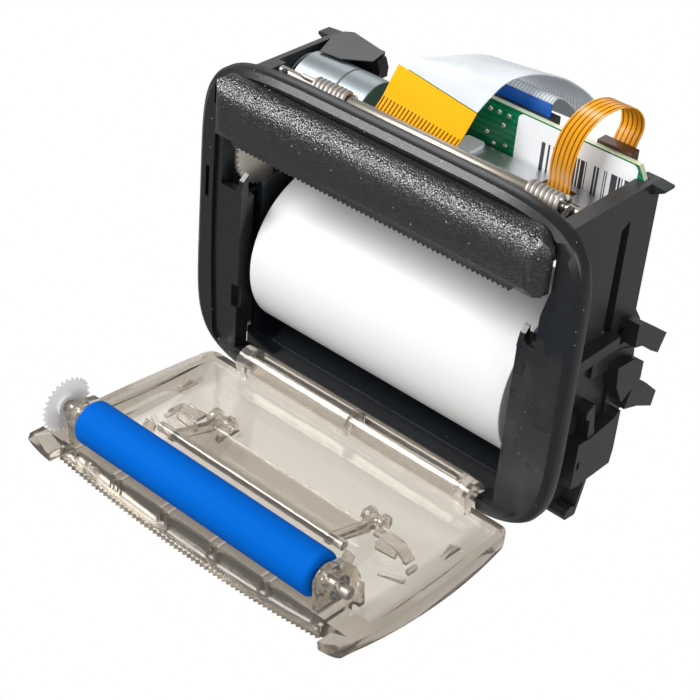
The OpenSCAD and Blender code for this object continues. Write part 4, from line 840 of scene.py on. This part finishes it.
flex_route = [
    [25.4, 24.604, -0.5, 0], [25.2, 30.004, 0, 0], [24.6, top - 6, 0.2, 0],
    [24.5, top - 0.8, 0.8, 0], [24.9, top + 4.1, 2, 0], [26.2, top + 8.2, 3.8, 0],
    [28.4, top + 10.4, 5.4, 0], [31.4, top + 11.05, 6.8, 0], [34.6, top + 10, 7.8, 0],
    [37.2, top + 7.2, 8.4, 0], [37.8, top + 4, 8.6, 0], [36.6, top + 1.6, 8.6, 0],
    [rear + 3.5, top - 1, 8.6, 0]]
orange_flex = striped("orange_flex", (0.74, 0.31, 0.01), (0.16, 0.045, 0.006),
                      lines=5, width=0.26, last=1.0, roughness=0.35,
                      sockets={"Specular IOR Level": 0.3})
flex = flat_cable("orange_sensor_flex", flex_route, left=25, right=31.2, thickness=0.25,
                  across=10)
settle_piece(flex, orange_flex, "sensor_flex")

# ---- Release bar and latch levers ----
# The bar that is pressed to open the printer: deep gloss black over a coarse spark-eroded
# grain that glitters along its upper face. Its levers are plain and glossy.


def spark_eroded_bar():
    """Gloss black with sunk round cells, over a crown: a drop with the square of the height."""
    crown_start, crown_radius = 33.3 * MM, 9 * MM
    pits, pit_depth = 2100, 0.13 * MM
    # The grain group's grey specks, given 0.9 here, are partly dust and partly painted glints of
    # the spark-eroded grain.
    material = finish("bar_gloss", (0.001, 0.0014, 0.0017), roughness=0.24,
                      fineness=3300, depth=0.6, mottle=0.04, dust_and_glints=0.9,
                      sockets={"Specular IOR Level": 1.0})
    tree = material.node_tree
    place = place_on(tree)
    above = reckon(tree, "SUBTRACT", parts_of(tree, place)["Z"], crown_start)
    rise = reckon(tree, "MAXIMUM", above, 0)
    erosion = relief(tree, cells(tree, place, pits)["Distance"], 1, pit_depth,
                     grain_in(material)["Normal"], sunk=True)
    crown = relief(tree, reckon(tree, "MULTIPLY", rise, rise), 1, 1 / (2 * crown_radius),
                   erosion, sunk=True)
    tree.links.new(crown, tree.nodes["Principled BSDF"].inputs["Normal"])
    return material


eased("release_bar", spark_eroded_bar(), 0.3, steps=3, flat=0.02)
lever_black = finish("lever_black", (0.010, 0.010, 0.011), roughness=0.3,
                     fineness=2600, depth=0.12, mottle=0.08)
eased("latch_levers", lever_black, 0.2)

# ---- Door, flap and platen bushes ----
# Clear plastic smoked a warm grey: thin where it is looked through, nearly black along its
# edges, where the light has a long way through it; its side lips also carry a darker tint, painted
# shade.


def smoked_clear(name, density, side):
    """Clear plastic with tinted depth; side is a darker tint past the flat middle, on the lips:
    painted shade.
    """
    lip_start, lip_end = 40.6 * MM, 42.6 * MM
    haze_scale, ripple_depth = 120, 0.3 * MM
    middle_tint, depth_tint = (0.755, 0.715, 0.65, 1), (0.56, 0.50, 0.41, 1)
    material = bpy.data.materials.new(name)
    material.use_nodes = True
    tree = material.node_tree
    shader = tree.nodes["Principled BSDF"]
    for label, value in (("Transmission Weight", 0.92), ("IOR", 1.25),
                         ("Coat Weight", 0.6), ("Coat Roughness", 0.05)):
        shader.inputs[label].default_value = value
    place = place_on(tree)
    haze = noise(tree, place, haze_scale, 3)
    tree.links.new(spread(tree, haze, 0.03, 0.10), shader.inputs["Roughness"])
    tree.links.new(relief(tree, haze, 0.12, ripple_depth), shader.inputs["Normal"])
    # Painted shade: past the flat middle the lips get the darker side tint, as they look when seen
    # edge-on.
    painted_lip_shade = tree.nodes.new("ShaderNodeMapRange")
    painted_lip_shade.interpolation_type = "SMOOTHSTEP"
    painted_lip_shade.inputs["From Min"].default_value = lip_start
    painted_lip_shade.inputs["From Max"].default_value = lip_end
    outward = reckon(tree, "ABSOLUTE", parts_of(tree, place)["X"])
    tree.links.new(outward, painted_lip_shade.inputs["Value"])
    tint_with(material, mixed(tree, painted_lip_shade.outputs["Result"], middle_tint, (*side, 1)))
    depth = tree.nodes.new("ShaderNodeVolumeAbsorption")
    depth.inputs["Color"].default_value = depth_tint
    depth.inputs["Density"].default_value = density
    tree.links.new(depth.outputs[0], tree.nodes["Material Output"].inputs["Volume"])
    return material


def bowed_sides(shape):
    """Lowers the outer skin of the door's side lips by a parabola along Y, most at its middle."""
    bow, bow_middle, bow_half_length = 4.3 * MM, -34, 31
    flat_half_width, lip_width = 43, 6.5
    floor_gap, facing_down = 0.06 * MM, -0.05
    for cut in range(-63, -4, 6):
        parts = shape.verts[:] + shape.edges[:] + shape.faces[:]
        bmesh.ops.bisect_plane(shape, geom=parts, plane_co=(0, cut * MM, 0), plane_no=(0, 1, 0))
    shape.normal_update()
    door_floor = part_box("door_shell")[0].z + floor_gap
    skin = bpy.data.meshes.new("door_skin")
    shape.to_mesh(skin)
    points, facing = np.empty((2, 3 * len(skin.vertices)), np.float32)
    skin.vertices.foreach_get("co", points)
    skin.vertex_normals.foreach_get("vector", facing)
    x, y, z = points.reshape(-1, 3).T
    side = np.clip((np.abs(x) / MM - flat_half_width) / lip_width, 0, 1)
    along = (y / MM - bow_middle) / bow_half_length
    drop = bow * side * side * (3 - 2 * side) * np.maximum(1 - along * along, 0)
    lowered = np.minimum(z, np.maximum(z - drop, door_floor))
    under = (side > 0) & (facing.reshape(-1, 3)[:, 2] < facing_down)
    points.reshape(-1, 3)[:, 2] = np.where(under, lowered, z)
    skin.vertices.foreach_set("co", points)
    shape.clear()
    shape.from_mesh(skin)
    bpy.data.meshes.remove(skin)
    bmesh.ops.triangulate(shape, faces=shape.faces[:])


# The door's side tint is painted shade on its lips; the flap's is close to its middle tint.
smoked = smoked_clear("smoked_clear", density=90, side=(0.76, 0.715, 0.64))
smoked_door = smoked_clear("smoked_door", density=100, side=(0.60, 0.55, 0.49))
eased("door_shell", smoked_door, 0.18, flat=0.02, reshape=bowed_sides)
eased("guide_flap", smoked, 0.15)
eased("flap_spring", smoked, 0.1)
eased("platen_bushes", smoked, 0.15)

# ---- Platen roller ----
# Blue rubber moulded on its steel shaft and ground to size, its ends turned down in a
# rounded shoulder.
platen_radius, shoulder = 5.6, 1.1
rubber_blue = finish("platen_rubber", (0.0, 0.100, 0.47), roughness=0.7,
                     fineness=5200, depth=0.12, mottle=0.04,
                     sockets={"Specular IOR Level": 0.03})
x0, x1, y, z = middle("platen_roller")
platen_skin = rounded_ends(x0, x1, platen_radius, lead=shoulder, steps=7)
platen_profile = np.concatenate([platen_skin, [(x1, shaft_radius), (x0, shaft_radius)]])
platen = lathe("blue_platen", platen_profile, y, z, turns=128)
settle_piece(platen, rubber_blue, "platen_roller")

# ---- Paper roll ----
# White thermal paper wound on a cardboard core, which turns freely in the bucket; the
# roll's ends show the edges of the layers.


def wound_paper(centre_y, centre_z):
    """Paper whose ends carry fine rings: a sine of the distance from the roll's own axis."""
    ring_pitch = 0.35 * MM
    material = finish("thermal_paper", (0.72, 0.73, 0.73), roughness=0.48,
                      fineness=1500, depth=0.03, mottle=0.02)
    tree = material.node_tree
    centred = tree.nodes.new("ShaderNodeMapping")
    centred.inputs["Location"].default_value = (0, -centre_y, -centre_z)
    tree.links.new(place_on(tree), centred.inputs["Vector"])
    flatten = tree.nodes.new("ShaderNodeVectorMath")
    flatten.operation = "MULTIPLY"
    flatten.inputs[1].default_value = (0, 1, 1)
    tree.links.new(centred.outputs["Vector"], flatten.inputs[0])
    reach = tree.nodes.new("ShaderNodeVectorMath")
    reach.operation = "LENGTH"
    tree.links.new(flatten.outputs["Vector"], reach.inputs[0])
    layers = reckon(tree, "MULTIPLY", reach.outputs["Value"], 2 * math.pi / ring_pitch)
    normal = relief(tree, reckon(tree, "SINE", layers), 0.3, 0.1 * MM)
    tree.links.new(normal, tree.nodes["Principled BSDF"].inputs["Normal"])
    return material


x0, x1, y, z = middle("paper_roll")
low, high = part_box("paper_roll")
roll_radius = (high.z - low.z) / 2 / MM
core_low, core_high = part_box("paper_core")
core_radius = (core_high.z - core_low.z) / 2 / MM
roll = rod("wound_roll", x0, x1, roll_radius, y, z, lead=0.25, bore=core_radius)
settle_piece(roll, wound_paper(y * MM, z * MM), "paper_roll")
cardboard = finish("cardboard", (0.36, 0.24, 0.13), roughness=0.8,
                   fineness=1400, depth=0.4, mottle=0.25)
eased("paper_core", cardboard, 0.15)
